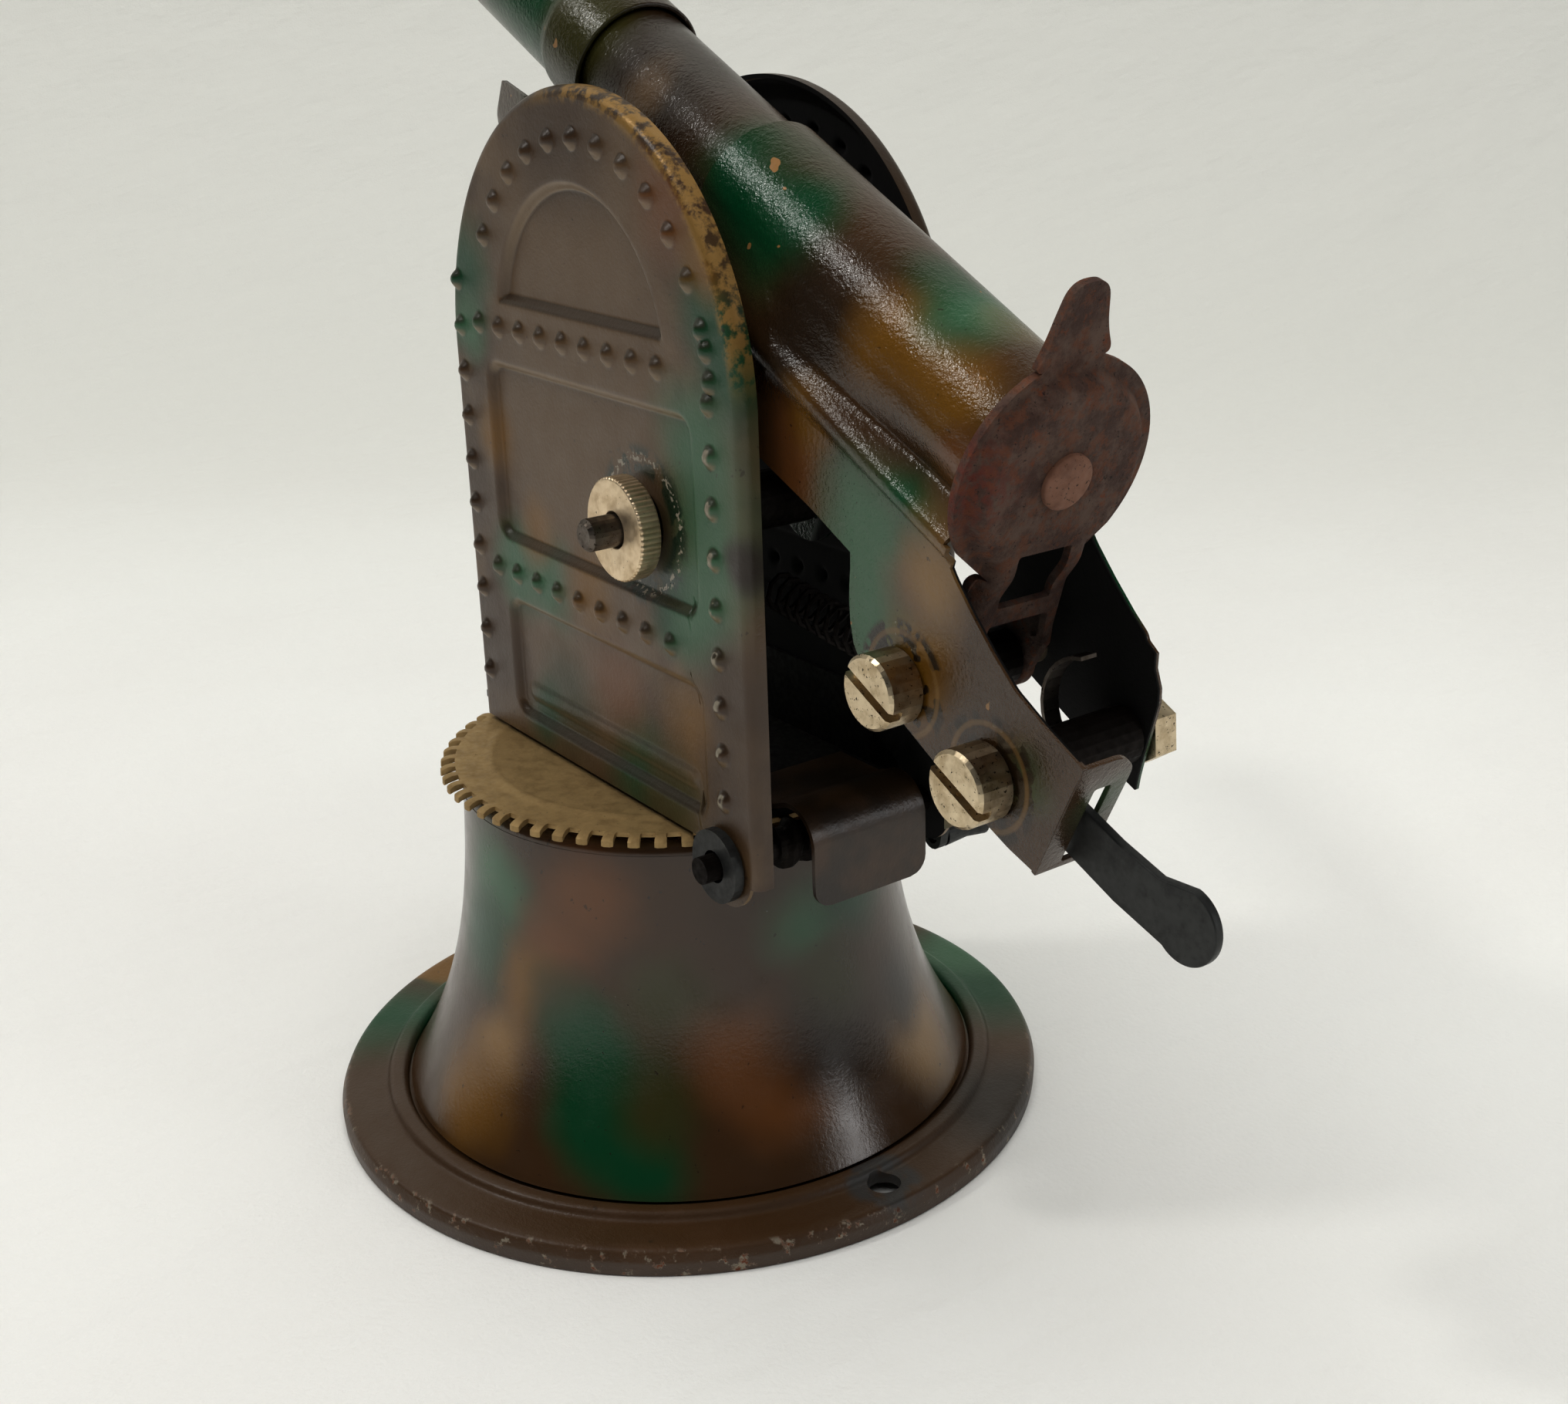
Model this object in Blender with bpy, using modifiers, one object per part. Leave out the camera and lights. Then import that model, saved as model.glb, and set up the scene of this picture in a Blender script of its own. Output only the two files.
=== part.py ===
"""Tinplate toy cannon on a bell pedestal: a spun base, a worm-driven turntable with two
round-topped shields, and a stamped gun with a spring hammer and a trigger lever.

Units are metres. +X points to the muzzle, +Y to the gun's left, +Z up. The origin is on the
slewing axis at the floor. The gun is built in its own frame: U forward along the barrel,
V to the left, W up, with its origin on the trunnion axis."""

import math

import bmesh
import bpy
from mathutils import Matrix, Vector

MM = 0.001
GAP = 0.3 * MM  # clearance between touching pieces
SHEET = 0.5 * MM  # tinplate thickness

# Pedestal
FLANGE_R = 40 * MM
FLANGE_TOP = 2.9 * MM
FLANGE_INNER_R = 28.5 * MM
FLANGE_WALL = 1.2 * MM
FLANGE_EDGE = 2.0 * MM  # width of the turned-down edge the toy stands on
HOLE_CIRCLE_R = 36.3 * MM
BASE_HOLE_R = 1.6 * MM
BELL_FOOT_R = 32.3 * MM
BELL_TOP_R = 23.4 * MM
BELL_TOP_Z = 39.0 * MM
BELL_WALL = 0.6 * MM

# Traverse gear, slewing bolt
GEAR_TIP_R = 25.5 * MM
GEAR_ROOT_R = 24.1 * MM
GEAR_TEETH = 60
GEAR_THICK = 1.3 * MM
GEAR_Z = BELL_TOP_Z + GAP
BOLT_R = 2.4 * MM
BOLT_HOLE_R = BOLT_R + GAP

# Carriage
FLOOR_Z = GEAR_Z + GEAR_THICK + 0.4 * MM
FLOOR_THICK = 0.8 * MM
FLOOR_TOP = FLOOR_Z + FLOOR_THICK
SHIELD_Y = 12.5 * MM  # outer face of each shield
SHIELD_RIM = 2.2 * MM  # depth of the turned-in rim, outer face included
SHIELD_X0 = -33.3 * MM
SHIELD_X1 = 20.7 * MM
SHIELD_BOTTOM = 41.2 * MM
SHIELD_ARCH_R = (SHIELD_X1 - SHIELD_X0) / 2
SHIELD_ARCH_X = (SHIELD_X1 + SHIELD_X0) / 2
SHIELD_ARCH_Z = 83.7 * MM

# Worm and crank
WORM_X = -28.2 * MM
WORM_Z = GEAR_Z + GEAR_THICK / 2
WORM_TIP_R = -WORM_X - GEAR_TIP_R - 0.25 * MM
WORM_ROOT_R = 1.75 * MM
WORM_HALF = 7 * MM
WORM_PITCH = 2 * math.pi * GEAR_TIP_R / GEAR_TEETH
SHAFT_R = 1.35 * MM
EAR_R = 4.4 * MM
CRANK_LENGTH = 4.8 * MM
KNOB_R = 1.5 * MM

# Gun, in its own U, V, W frame
TRUNNION = Vector((-15.4 * MM, 0, 70.8 * MM))
ELEVATION = math.radians(26.2)
BARREL_W = 29.6 * MM
SHELL_R = 7.05 * MM
TUBE_R = 6.2 * MM
TUBE_WALL = 0.5 * MM
SHELL_FRONT_U = 9 * MM
BREECH_U = -33.75 * MM
BREECH_LEAN = math.radians(8)
SLEEVE_U = 32.2 * MM
SLEEVE_R = 6.95 * MM
FRONT_TUBE_R = 6.45 * MM
MUZZLE_U = 121.06 * MM
CHEEK_V = 8.0 * MM
CHEEK_TOP_W = 22 * MM
BULGE_TOP_W = 28.3 * MM
BULGE_OUT = 1.35 * MM
CHEEK_END_U = -54.2 * MM
FAR_CHEEK_END_U = -49.5 * MM
HAMMER_AXIS = (-34.2 * MM, 8.4 * MM)  # U, W
TRIGGER_AXIS = (-46.5 * MM, 8.8 * MM)  # U, W
SCREW_R = 1.5 * MM
SCREW_HEAD_R = 3.35 * MM
SCREW_HEAD_H = 3.4 * MM
STUD_R = 1.6 * MM

# Hammer plate, in its own frame: across V, up the plate T from the centre of the disc
HAMMER_DISC_U = -34.6 * MM
HAMMER_THICK = 1.0 * MM
HAMMER_DISC_R = 10.2 * MM
HAMMER_EAR_V = 4.4 * MM

# Hammer spring: the ends beyond its coil, as (U, V, W) in millimetres
HOOK_FRONT = ((0.6, 0, -3.7), (-1.8, 0, -4.2), (-5.2, 0.4, -4.7))
HOOK_BACK = ((-28.3, 1.2, 2.8), (-30.6, 3.0, 4.6), (-31.5, 3.3, 5.4))

# Trigger lever
LEVER_V = 4.4 * MM
LEVER_THICK = 0.9 * MM
LEVER_PAD = (-66.3 * MM, 10.9 * MM)  # U, W of the centre of the round pad
LEVER_PAD_R = 3.3 * MM

ROUND = 32  # segments round a small turned piece
LARGE_ROUND = 64  # segments round the pedestal


def clear_scene():
    for obj in list(bpy.data.objects):
        bpy.data.objects.remove(obj, do_unlink=True)


def make_collection(name):
    collection = bpy.data.collections.new(name)
    bpy.context.scene.collection.children.link(collection)
    return collection


clear_scene()
PARTS = make_collection("toy_cannon")
CUTTERS = make_collection("cutters")
CUTTERS.hide_render = True


def make_material(name, color, roughness, metallic):
    material = bpy.data.materials.new(name)
    material.use_nodes = True
    shader = material.node_tree.nodes["Principled BSDF"]
    shader.inputs["Base Color"].default_value = (*color, 1)
    shader.inputs["Roughness"].default_value = roughness
    shader.inputs["Metallic"].default_value = metallic
    return material


ENAMEL_BROWN = ((0.10, 0.07, 0.045), 0.35, 0.0)
ENAMEL_GREEN = ((0.05, 0.11, 0.07), 0.35, 0.0)
ENAMEL_OLIVE = ((0.12, 0.10, 0.05), 0.35, 0.0)
BARE_BRASS = ((0.35, 0.29, 0.18), 0.45, 0.8)
NICKEL = ((0.55, 0.50, 0.38), 0.3, 1.0)
BLUED_STEEL = ((0.03, 0.033, 0.04), 0.4, 0.9)
RUSTY_STEEL = ((0.16, 0.075, 0.05), 0.8, 0.3)
SPRING_STEEL = ((0.20, 0.19, 0.18), 0.4, 1.0)


# ---- Building blocks -------------------------------------------------------------------


def new_object(name, mesh, finish, collection=None):
    obj = bpy.data.objects.new(name, mesh)
    (collection or PARTS).objects.link(obj)
    if finish:
        mesh.materials.append(make_material(name, *finish))
    return obj


def finish_mesh(mesh):
    mesh.shade_smooth()
    mesh.set_sharp_from_angle(angle=math.radians(35))
    return mesh


def turned(name, profile, finish, axis="Z", at=(0, 0, 0), steps=ROUND):
    """A solid of revolution. The profile is a closed loop of (radius, height)."""
    mesh = bpy.data.meshes.new(name)
    bm = bmesh.new()
    verts = [bm.verts.new((r, 0, z)) for r, z in profile]
    for a, b in zip(verts, verts[1:] + verts[:1]):
        bm.edges.new((a, b))
    bmesh.ops.spin(
        bm,
        geom=bm.verts[:] + bm.edges[:],
        cent=(0, 0, 0),
        axis=(0, 0, 1),
        angle=2 * math.pi,
        steps=steps,
        use_merge=True,
    )
    bmesh.ops.remove_doubles(bm, verts=bm.verts, dist=1e-6)
    bmesh.ops.recalc_face_normals(bm, faces=bm.faces)
    bm.to_mesh(mesh)
    bm.free()
    obj = new_object(name, finish_mesh(mesh), finish)
    turn = {"Z": Matrix(), "Y": Matrix.Rotation(math.radians(-90), 4, "X")}
    turn["X"] = Matrix.Rotation(math.radians(90), 4, "Y")
    mesh.transform(turn[axis])
    obj.location = at
    return obj


def ring(outer, inner, low, high):
    """Profile of a plain ring or tube."""
    return [(inner, low), (outer, low), (outer, high), (inner, high)]


def rod_profile(radius, low, high, bevel):
    return [(0, low), (radius - bevel, low), (radius, low + bevel), (radius, high - bevel),
            (radius - bevel, high), (0, high)]


def plate(name, outline, thick, finish, holes=(), plane="XZ", centre=0.0):
    """A flat sheet piece. The outline and holes are loops in the plane's two axes."""
    curve = bpy.data.curves.new(name, "CURVE")
    curve.dimensions = "2D"
    curve.fill_mode = "BOTH"
    curve.extrude = thick / 2
    for loop in [outline, *holes]:
        spline = curve.splines.new("POLY")
        spline.points.add(len(loop) - 1)
        for point, (a, b) in zip(spline.points, loop):
            point.co = (a, b, 0, 1)
        spline.use_cyclic_u = True
    guide = bpy.data.objects.new(name + "_outline", curve)
    PARTS.objects.link(guide)
    graph = bpy.context.evaluated_depsgraph_get()
    mesh = bpy.data.meshes.new_from_object(guide.evaluated_get(graph))
    bpy.data.objects.remove(guide)
    bm = bmesh.new()
    bm.from_mesh(mesh)
    bmesh.ops.remove_doubles(bm, verts=bm.verts, dist=1e-6)
    bmesh.ops.recalc_face_normals(bm, faces=bm.faces)
    bm.to_mesh(mesh)
    bm.free()
    mesh.materials.clear()
    if plane == "XZ":
        mesh.transform(Matrix.Rotation(math.radians(90), 4, "X"))
        mesh.transform(Matrix.Translation((0, centre, 0)))
    elif plane == "YZ":
        mesh.transform(Matrix(((0, 0, 1, centre), (1, 0, 0, 0), (0, 1, 0, 0), (0, 0, 0, 1))))
    else:
        mesh.transform(Matrix.Translation((0, 0, centre)))
    mesh.shade_flat()
    return new_object(name, mesh, finish)


def circle(centre, radius, count=20, start=0.0, end=2 * math.pi):
    """Points round an arc. A full circle leaves its last point out."""
    full = abs(end - start) > 2 * math.pi - 1e-6
    parts = count if full else count - 1
    return [
        (centre[0] + radius * math.cos(start + (end - start) * i / parts),
         centre[1] + radius * math.sin(start + (end - start) * i / parts))
        for i in range(count)
    ]


def hex_nut(name, radius, bore, thick, plane, centre):
    return plate(name, circle((0, 0), radius, 6), thick, NICKEL, [circle((0, 0), bore)], plane,
                 centre)


def grid_shell(name, rows, keep=None):
    """A surface laid over rows of points, to be thickened into a sheet."""
    bm = bmesh.new()
    verts = [[bm.verts.new(p) for p in row] for row in rows]
    for i in range(len(rows) - 1):
        for j in range(len(rows[0]) - 1):
            if keep is None or keep(i, j):
                bm.faces.new((verts[i][j], verts[i + 1][j], verts[i + 1][j + 1], verts[i][j + 1]))
    loose = [v for v in bm.verts if not v.link_faces]
    bmesh.ops.delete(bm, geom=loose, context="VERTS")
    mesh = bpy.data.meshes.new(name)
    bm.to_mesh(mesh)
    bm.free()
    return mesh


def apply_modifiers(obj):
    graph = bpy.context.evaluated_depsgraph_get()
    mesh = bpy.data.meshes.new_from_object(obj.evaluated_get(graph))
    obj.modifiers.clear()
    obj.data = mesh


def boolean(obj, tool, operation):
    modifier = obj.modifiers.new(operation.lower(), "BOOLEAN")
    modifier.operation = operation
    modifier.object = tool
    modifier.solver = "EXACT"
    apply_modifiers(obj)


def cut(obj, tool):
    boolean(obj, tool, "DIFFERENCE")
    CUTTERS.objects.link(tool)
    PARTS.objects.unlink(tool)
    tool.hide_render = True
    tool.display_type = "WIRE"


def join(obj, tool):
    boolean(obj, tool, "UNION")
    bpy.data.objects.remove(tool)


def drill(obj, radius, at, axis="Y", length=60 * MM, sides=20):
    """Cuts a round hole through the object along one axis."""
    profile = [(0, -length / 2), (radius, -length / 2), (radius, length / 2), (0, length / 2)]
    cut(obj, turned(obj.name + "_hole", profile, None, axis, at, sides))


# ---- Pedestal --------------------------------------------------------------------------


def bell_radius(z):
    """Outer radius of the spun bell: nearly straight at the top, flaring to the foot."""
    share = 1 - (z - FLANGE_TOP) / (BELL_TOP_Z - FLANGE_TOP)
    return BELL_TOP_R + (BELL_FOOT_R - BELL_TOP_R) * (0.16 * share + 0.84 * share ** 2.9)


def make_pedestal():
    rim = 0.8 * MM
    flange = turned("base_flange", [
        (FLANGE_R - FLANGE_EDGE, 0), (FLANGE_R - 0.3 * MM, 0), (FLANGE_R, 0.4 * MM),
        (FLANGE_R, FLANGE_TOP - rim), (FLANGE_R - 0.3 * MM, FLANGE_TOP - 0.2 * MM),
        (FLANGE_R - rim, FLANGE_TOP), (FLANGE_INNER_R, FLANGE_TOP),
        (FLANGE_INNER_R, FLANGE_TOP - FLANGE_WALL),
        (FLANGE_R - FLANGE_EDGE, FLANGE_TOP - FLANGE_WALL),
    ], ENAMEL_BROWN, steps=LARGE_ROUND)
    for side in (-1, 1):
        drill(flange, BASE_HOLE_R, (side * HOLE_CIRCLE_R, 0, 0), "Z", 20 * MM)

    foot_z = FLANGE_TOP + GAP
    heights = [foot_z + (BELL_TOP_Z - 1.5 * MM - foot_z) * (i / 7) ** 1.2 for i in range(8)]
    outer = [(bell_radius(z), z) for z in heights]
    outer += [(BELL_TOP_R - 0.4 * MM, BELL_TOP_Z - 0.4 * MM), (BELL_TOP_R - 1.4 * MM, BELL_TOP_Z)]
    inner = [(BELL_TOP_R - 1.6 * MM, BELL_TOP_Z - BELL_WALL),
             (BELL_TOP_R - BELL_WALL - 0.6 * MM, BELL_TOP_Z - 1.6 * MM)]
    inner += [(r - BELL_WALL, z) for r, z in reversed(outer[:-3])]
    hub = [(BOLT_HOLE_R, BELL_TOP_Z), (BOLT_HOLE_R, BELL_TOP_Z - BELL_WALL)]
    turned("pedestal_bell", outer + hub + inner, ENAMEL_GREEN, steps=LARGE_ROUND)

    teeth = []
    step = 2 * math.pi / GEAR_TEETH
    for i in range(GEAR_TEETH):
        for share, radius in ((-0.5, GEAR_ROOT_R), (-0.25, GEAR_ROOT_R), (-0.16, GEAR_TIP_R),
                              (0.16, GEAR_TIP_R), (0.25, GEAR_ROOT_R)):
            angle = (i + share) * step
            teeth.append((radius * math.cos(angle), radius * math.sin(angle)))
    plate("traverse_gear", teeth, GEAR_THICK, BARE_BRASS,
          [circle((0, 0), BOLT_HOLE_R)], "XY", GEAR_Z + GEAR_THICK / 2)

    washer_z = FLOOR_TOP + GAP
    turned("slewing_washer", ring(5 * MM, BOLT_HOLE_R, washer_z, washer_z + 0.6 * MM), NICKEL)
    head_z = washer_z + 0.6 * MM + GAP
    turned("slewing_bolt", [
        (0, 33 * MM), (BOLT_R - 0.3 * MM, 33 * MM), (BOLT_R, 33.4 * MM), (BOLT_R, head_z),
        (4.2 * MM, head_z), (4.2 * MM, head_z + 2.2 * MM), (3.7 * MM, head_z + 2.6 * MM),
        (0, head_z + 2.6 * MM),
    ], NICKEL)
    nut_top = BELL_TOP_Z - BELL_WALL - GAP
    hex_nut("slewing_nut", 4.4 * MM, BOLT_HOLE_R, 2.6 * MM, "XY", nut_top - 1.3 * MM)


# ---- Carriage --------------------------------------------------------------------------


def shield_outline(inset, low):
    """Arch-topped outline in X and Z, moved in by inset, down to the height low."""
    radius = SHIELD_ARCH_R - inset
    arch = circle((SHIELD_ARCH_X, SHIELD_ARCH_Z), radius, 33, 0, math.pi)
    return [(SHIELD_X0 + inset, low), (SHIELD_X1 - inset, low), *arch]


def shield_face():
    """Outer outline of a shield, with the round ear that carries the worm shaft."""
    ear = circle((WORM_X, WORM_Z), EAR_R, 10, -0.25 * math.pi, -0.85 * math.pi)
    arch = circle((SHIELD_ARCH_X, SHIELD_ARCH_Z), SHIELD_ARCH_R, 33, 0, math.pi)
    return [*arch, (SHIELD_X0, WORM_Z + 1 * MM), *reversed(ear),
            (WORM_X + EAR_R + 0.6 * MM, SHIELD_BOTTOM), (SHIELD_X1, SHIELD_BOTTOM)]


def make_shield(name, side, finish):
    """A pressed plate with its rim turned in, built thick and then hollowed."""
    middle = side * (SHIELD_Y - SHIELD_RIM / 2)
    shield = plate(name, shield_face(), SHIELD_RIM, finish, (), "XZ", middle)
    hollow_middle = side * (SHIELD_Y - SHEET - SHIELD_RIM / 2)
    cut(shield, plate(name + "_hollow", shield_outline(SHEET, 30 * MM), SHIELD_RIM, None, (),
                      "XZ", hollow_middle))
    drill(shield, SHAFT_R + GAP, (WORM_X, side * SHIELD_Y, WORM_Z), length=8 * MM)
    drill(shield, STUD_R + GAP, (TRUNNION.x, side * SHIELD_Y, TRUNNION.z), length=8 * MM)
    return shield


def make_carriage():
    wall_y = SHIELD_Y - SHEET - GAP
    nose_x, nose_y, notch_x = 25.6 * MM, 9.9 * MM, SHIELD_X1 - SHEET - GAP
    floor_outline = [(-24.5 * MM, -wall_y), (notch_x, -wall_y), (notch_x, -nose_y),
                     (nose_x, -nose_y), (nose_x, nose_y), (notch_x, nose_y), (notch_x, wall_y),
                     (-24.5 * MM, wall_y)]
    bracket = plate("turntable_bracket", floor_outline, FLOOR_THICK, ENAMEL_BROWN,
                    [circle((0, 0), BOLT_HOLE_R)], "XY", FLOOR_Z + FLOOR_THICK / 2)
    for side in (-1, 1):
        wall = [(-21 * MM, FLOOR_Z), (15 * MM, FLOOR_Z), (15 * MM, FLOOR_Z + 7 * MM),
                (13 * MM, FLOOR_Z + 9 * MM), (-19 * MM, FLOOR_Z + 9 * MM),
                (-21 * MM, FLOOR_Z + 7 * MM)]
        join(bracket, plate("wall", wall, FLOOR_THICK, None, (), "XZ",
                            side * (wall_y - FLOOR_THICK / 2)))
    make_shield("left_shield", 1, ENAMEL_OLIVE)
    make_shield("right_shield", -1, ENAMEL_OLIVE)
    make_worm_cover()


def make_worm_cover():
    """A strip lying on the floor, arched over the worm and hanging down behind it."""
    top = FLOOR_TOP + GAP + SHEET / 2
    arc = circle((WORM_X, WORM_Z), 3.6 * MM, 9, math.radians(65), math.radians(172))
    path = [(-18 * MM, top), (WORM_X + 3.6 * MM, top), *arc, (arc[-1][0], 33.8 * MM)]
    rows = [[(x, y, z) for x, z in path] for y in (-9.3 * MM, 4.6 * MM)]
    cover = new_object("worm_cover", grid_shell("worm_cover", rows), ENAMEL_BROWN)
    thicken(cover, SHEET)


def thicken(obj, thick):
    modifier = obj.modifiers.new("sheet", "SOLIDIFY")
    modifier.thickness = thick
    modifier.offset = 0
    modifier.use_even_offset = True
    apply_modifiers(obj)


# ---- Worm and crank --------------------------------------------------------------------


def worm_radius(y, angle):
    """Radius of the shaft at a point along and round it, with its single-start thread."""
    if abs(y) > WORM_HALF:
        return SHAFT_R
    phase = (y / WORM_PITCH - angle / (2 * math.pi)) % 1.0
    rise = max(0.0, 1 - abs(phase - 0.5) / 0.34)
    return WORM_ROOT_R + (WORM_TIP_R - WORM_ROOT_R) * min(1.0, 1.6 * rise)


def make_worm():
    sides, steps = 20, 38
    ys = [-15.4 * MM, -WORM_HALF - 0.05 * MM]
    ys += [-WORM_HALF + 2 * WORM_HALF * i / steps for i in range(steps + 1)]
    ys += [WORM_HALF + 0.05 * MM, 15.4 * MM]
    bm = bmesh.new()
    rings = []
    for y in ys:
        loop = []
        for k in range(sides):
            angle = 2 * math.pi * k / sides
            radius = worm_radius(y, angle)
            loop.append(bm.verts.new((radius * math.cos(angle), y, radius * math.sin(angle))))
        rings.append(loop)
    for low, high in zip(rings, rings[1:]):
        for k in range(sides):
            n = (k + 1) % sides
            bm.faces.new((low[k], low[n], high[n], high[k]))
    bm.faces.new(rings[0])
    bm.faces.new(rings[-1])
    bmesh.ops.recalc_face_normals(bm, faces=bm.faces)
    mesh = bpy.data.meshes.new("worm_shaft")
    bm.to_mesh(mesh)
    bm.free()
    shaft = new_object("worm_shaft", finish_mesh(mesh), BARE_BRASS)
    shaft.location = (WORM_X, 0, WORM_Z)
    bore = SHAFT_R + GAP
    washer_y = SHIELD_Y + GAP
    turned("shaft_washer", ring(3.7 * MM, bore, washer_y, washer_y + 1.0 * MM), BLUED_STEEL,
           "Y", (WORM_X, 0, WORM_Z))
    arm_y = -SHIELD_Y - GAP - 0.5 * MM - 0.5 * MM
    down = WORM_Z - CRANK_LENGTH
    arm = circle((WORM_X, WORM_Z), 2.6 * MM, 9, 0, math.pi)
    arm += circle((WORM_X, down), 1.4 * MM, 9, math.pi, 2 * math.pi)
    plate("crank_arm", arm, 1.0 * MM, BLUED_STEEL,
          [circle((WORM_X, WORM_Z), bore, 14), circle((WORM_X, down), 0.8 * MM, 12)], "XZ", arm_y)
    knob_y = arm_y - 0.5 * MM - GAP
    turned("crank_knob", [
        (0, -6.0 * MM), (KNOB_R - 0.5 * MM, -6.0 * MM), (KNOB_R, -5.4 * MM),
        (KNOB_R - 0.3 * MM, -3.0 * MM), (KNOB_R - 0.1 * MM, 0), (0.5 * MM, 0),
        (0.5 * MM, 1.0 * MM), (0, 1.0 * MM),
    ], BLUED_STEEL, "Y", (WORM_X, knob_y, down), 24)


# ---- Gun -------------------------------------------------------------------------------


def breech_u(w, ahead=0.0):
    """U of the slightly leaning rear face of the barrel at height w."""
    return BREECH_U + ahead + (w - BARREL_W) * math.tan(BREECH_LEAN)


def cheek_low(u):
    """Height of the lower edge of the cheeks, with the round trunnion ear under them."""
    ear = 5.2 * MM
    if abs(u) < ear:
        return -math.sqrt(max(0.0, ear ** 2 - u ** 2))
    knots = [(-54.3, 5.6), (-47.0, 5.0), (-29.5, 6.0), (-26.9, 8.3), (-24.3, 12.0), (-23.9, 14.5),
             (-8.0, 14.2), (-5.2, 0.0), (5.2, 0.0), (7.0, 12.0), (9.0, 14.0)]
    return interpolate(knots, u)


def cheek_high(u):
    """Height of the upper edge of the cheeks behind the breech."""
    knots = [(-54.3, 17.4), (-45.5, 17.4), (-38.7, 19.9), (-34.8, 21.4), (-33.5, 22.0)]
    return interpolate(knots, u)


def interpolate(knots, u):
    """Straight-line interpolation through knots given in millimetres."""
    if u <= knots[0][0] * MM:
        return knots[0][1] * MM
    for (u0, w0), (u1, w1) in zip(knots, knots[1:]):
        if u <= u1 * MM + 1e-9:
            return (w0 + (w1 - w0) * (u / MM - u0) / (u1 - u0)) * MM
    return knots[-1][1] * MM


CHEEK_ROWS, BULGE_ROWS, ARC_ROWS = 4, 7, 8


def half_section(u):
    """One side of the pressed body at station u, from its lower edge to the top of the tube."""
    behind = u < BREECH_U
    low = cheek_low(u)
    high = cheek_high(u) if behind else CHEEK_TOP_W
    middle_v = CHEEK_V - SHEET / 2
    points = [(middle_v, low + (high - low) * i / CHEEK_ROWS) for i in range(CHEEK_ROWS + 1)]
    for i in range(1, BULGE_ROWS + 1):
        share = i / BULGE_ROWS
        w = CHEEK_TOP_W + (BULGE_TOP_W - CHEEK_TOP_W) * share
        v = middle_v - 0.5 * MM * share + BULGE_OUT * math.sin(math.pi * share)
        points.append((v, w))
    radius = SHELL_R - SHEET / 2
    for i in range(ARC_ROWS + 1):
        angle = math.pi / 2 * i / ARC_ROWS
        points.append((radius * math.cos(angle), BARREL_W + radius * math.sin(angle)))
    return points


def make_gun_body():
    stations = [-54.2, -51, FAR_CHEEK_END_U / MM, -47, -43, -38.7, -36, -33.9, -31.5, -29.5, -26.9,
                -24.3, -23.9, -20, -14, -8, -5.2, -4.9, -4.0, -2.6, 0, 2.6, 4.0, 4.9, 5.2, 7, 9]
    rows = []
    for station in stations:
        u = station * MM
        half = half_section(u)
        full = [(v, w) for v, w in half] + [(-v, w) for v, w in reversed(half[:-1])]
        rows.append([(max(u, breech_u(w)) if station == -33.9 else u, v, w) for v, w in full])
    last_behind = stations.index(-36)
    far_end = stations.index(FAR_CHEEK_END_U / MM)
    columns = len(rows[0]) - 1

    def keep(i, j):
        near, far = j < CHEEK_ROWS, j >= columns - CHEEK_ROWS
        if i > last_behind:
            return True
        return near or (far and i >= far_end)

    body = new_object("gun_body", grid_shell("gun_body", rows, keep), ENAMEL_GREEN)
    thicken(body, SHEET)
    flange_low, flange_high = 5.2 * MM, 17.2 * MM
    outline = [(1.6 * MM, flange_low), (CHEEK_V - 0.1 * MM, flange_low),
               (CHEEK_V - 0.1 * MM, flange_high), (3.0 * MM, flange_high),
               (1.6 * MM, flange_high - 1.4 * MM)]
    slot = [(LEVER_V - 0.95 * MM, 5.9 * MM), (LEVER_V + 0.95 * MM, 5.9 * MM),
            (LEVER_V + 0.95 * MM, 14.0 * MM), (LEVER_V - 0.95 * MM, 14.0 * MM)]
    join(body, plate("end_flange", outline, SHEET, None, [slot], "YZ", CHEEK_END_U + 0.3 * MM))
    drill(body, STUD_R + GAP, (0, 0, 0))
    for u, w in (HAMMER_AXIS, TRIGGER_AXIS):
        drill(body, SCREW_R + GAP, (u, 0, w))
    return [body]


def lean_end(obj):
    """Trims the rear end of a tube to the leaning breech face."""
    normal = Vector((math.cos(BREECH_LEAN), 0, -math.sin(BREECH_LEAN)))
    bm = bmesh.new()
    bm.from_mesh(obj.data)
    result = bmesh.ops.bisect_plane(bm, geom=bm.verts[:] + bm.edges[:] + bm.faces[:],
                                    plane_co=(BREECH_U, 0, 0), plane_no=normal, clear_inner=True)
    edges = [e for e in result["geom_cut"] if isinstance(e, bmesh.types.BMEdge)]
    loops = [e for e in edges if e.is_valid]
    bmesh.ops.bridge_loops(bm, edges=loops)
    bmesh.ops.recalc_face_normals(bm, faces=bm.faces)
    bm.to_mesh(obj.data)
    bm.free()
    finish_mesh(obj.data)


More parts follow.
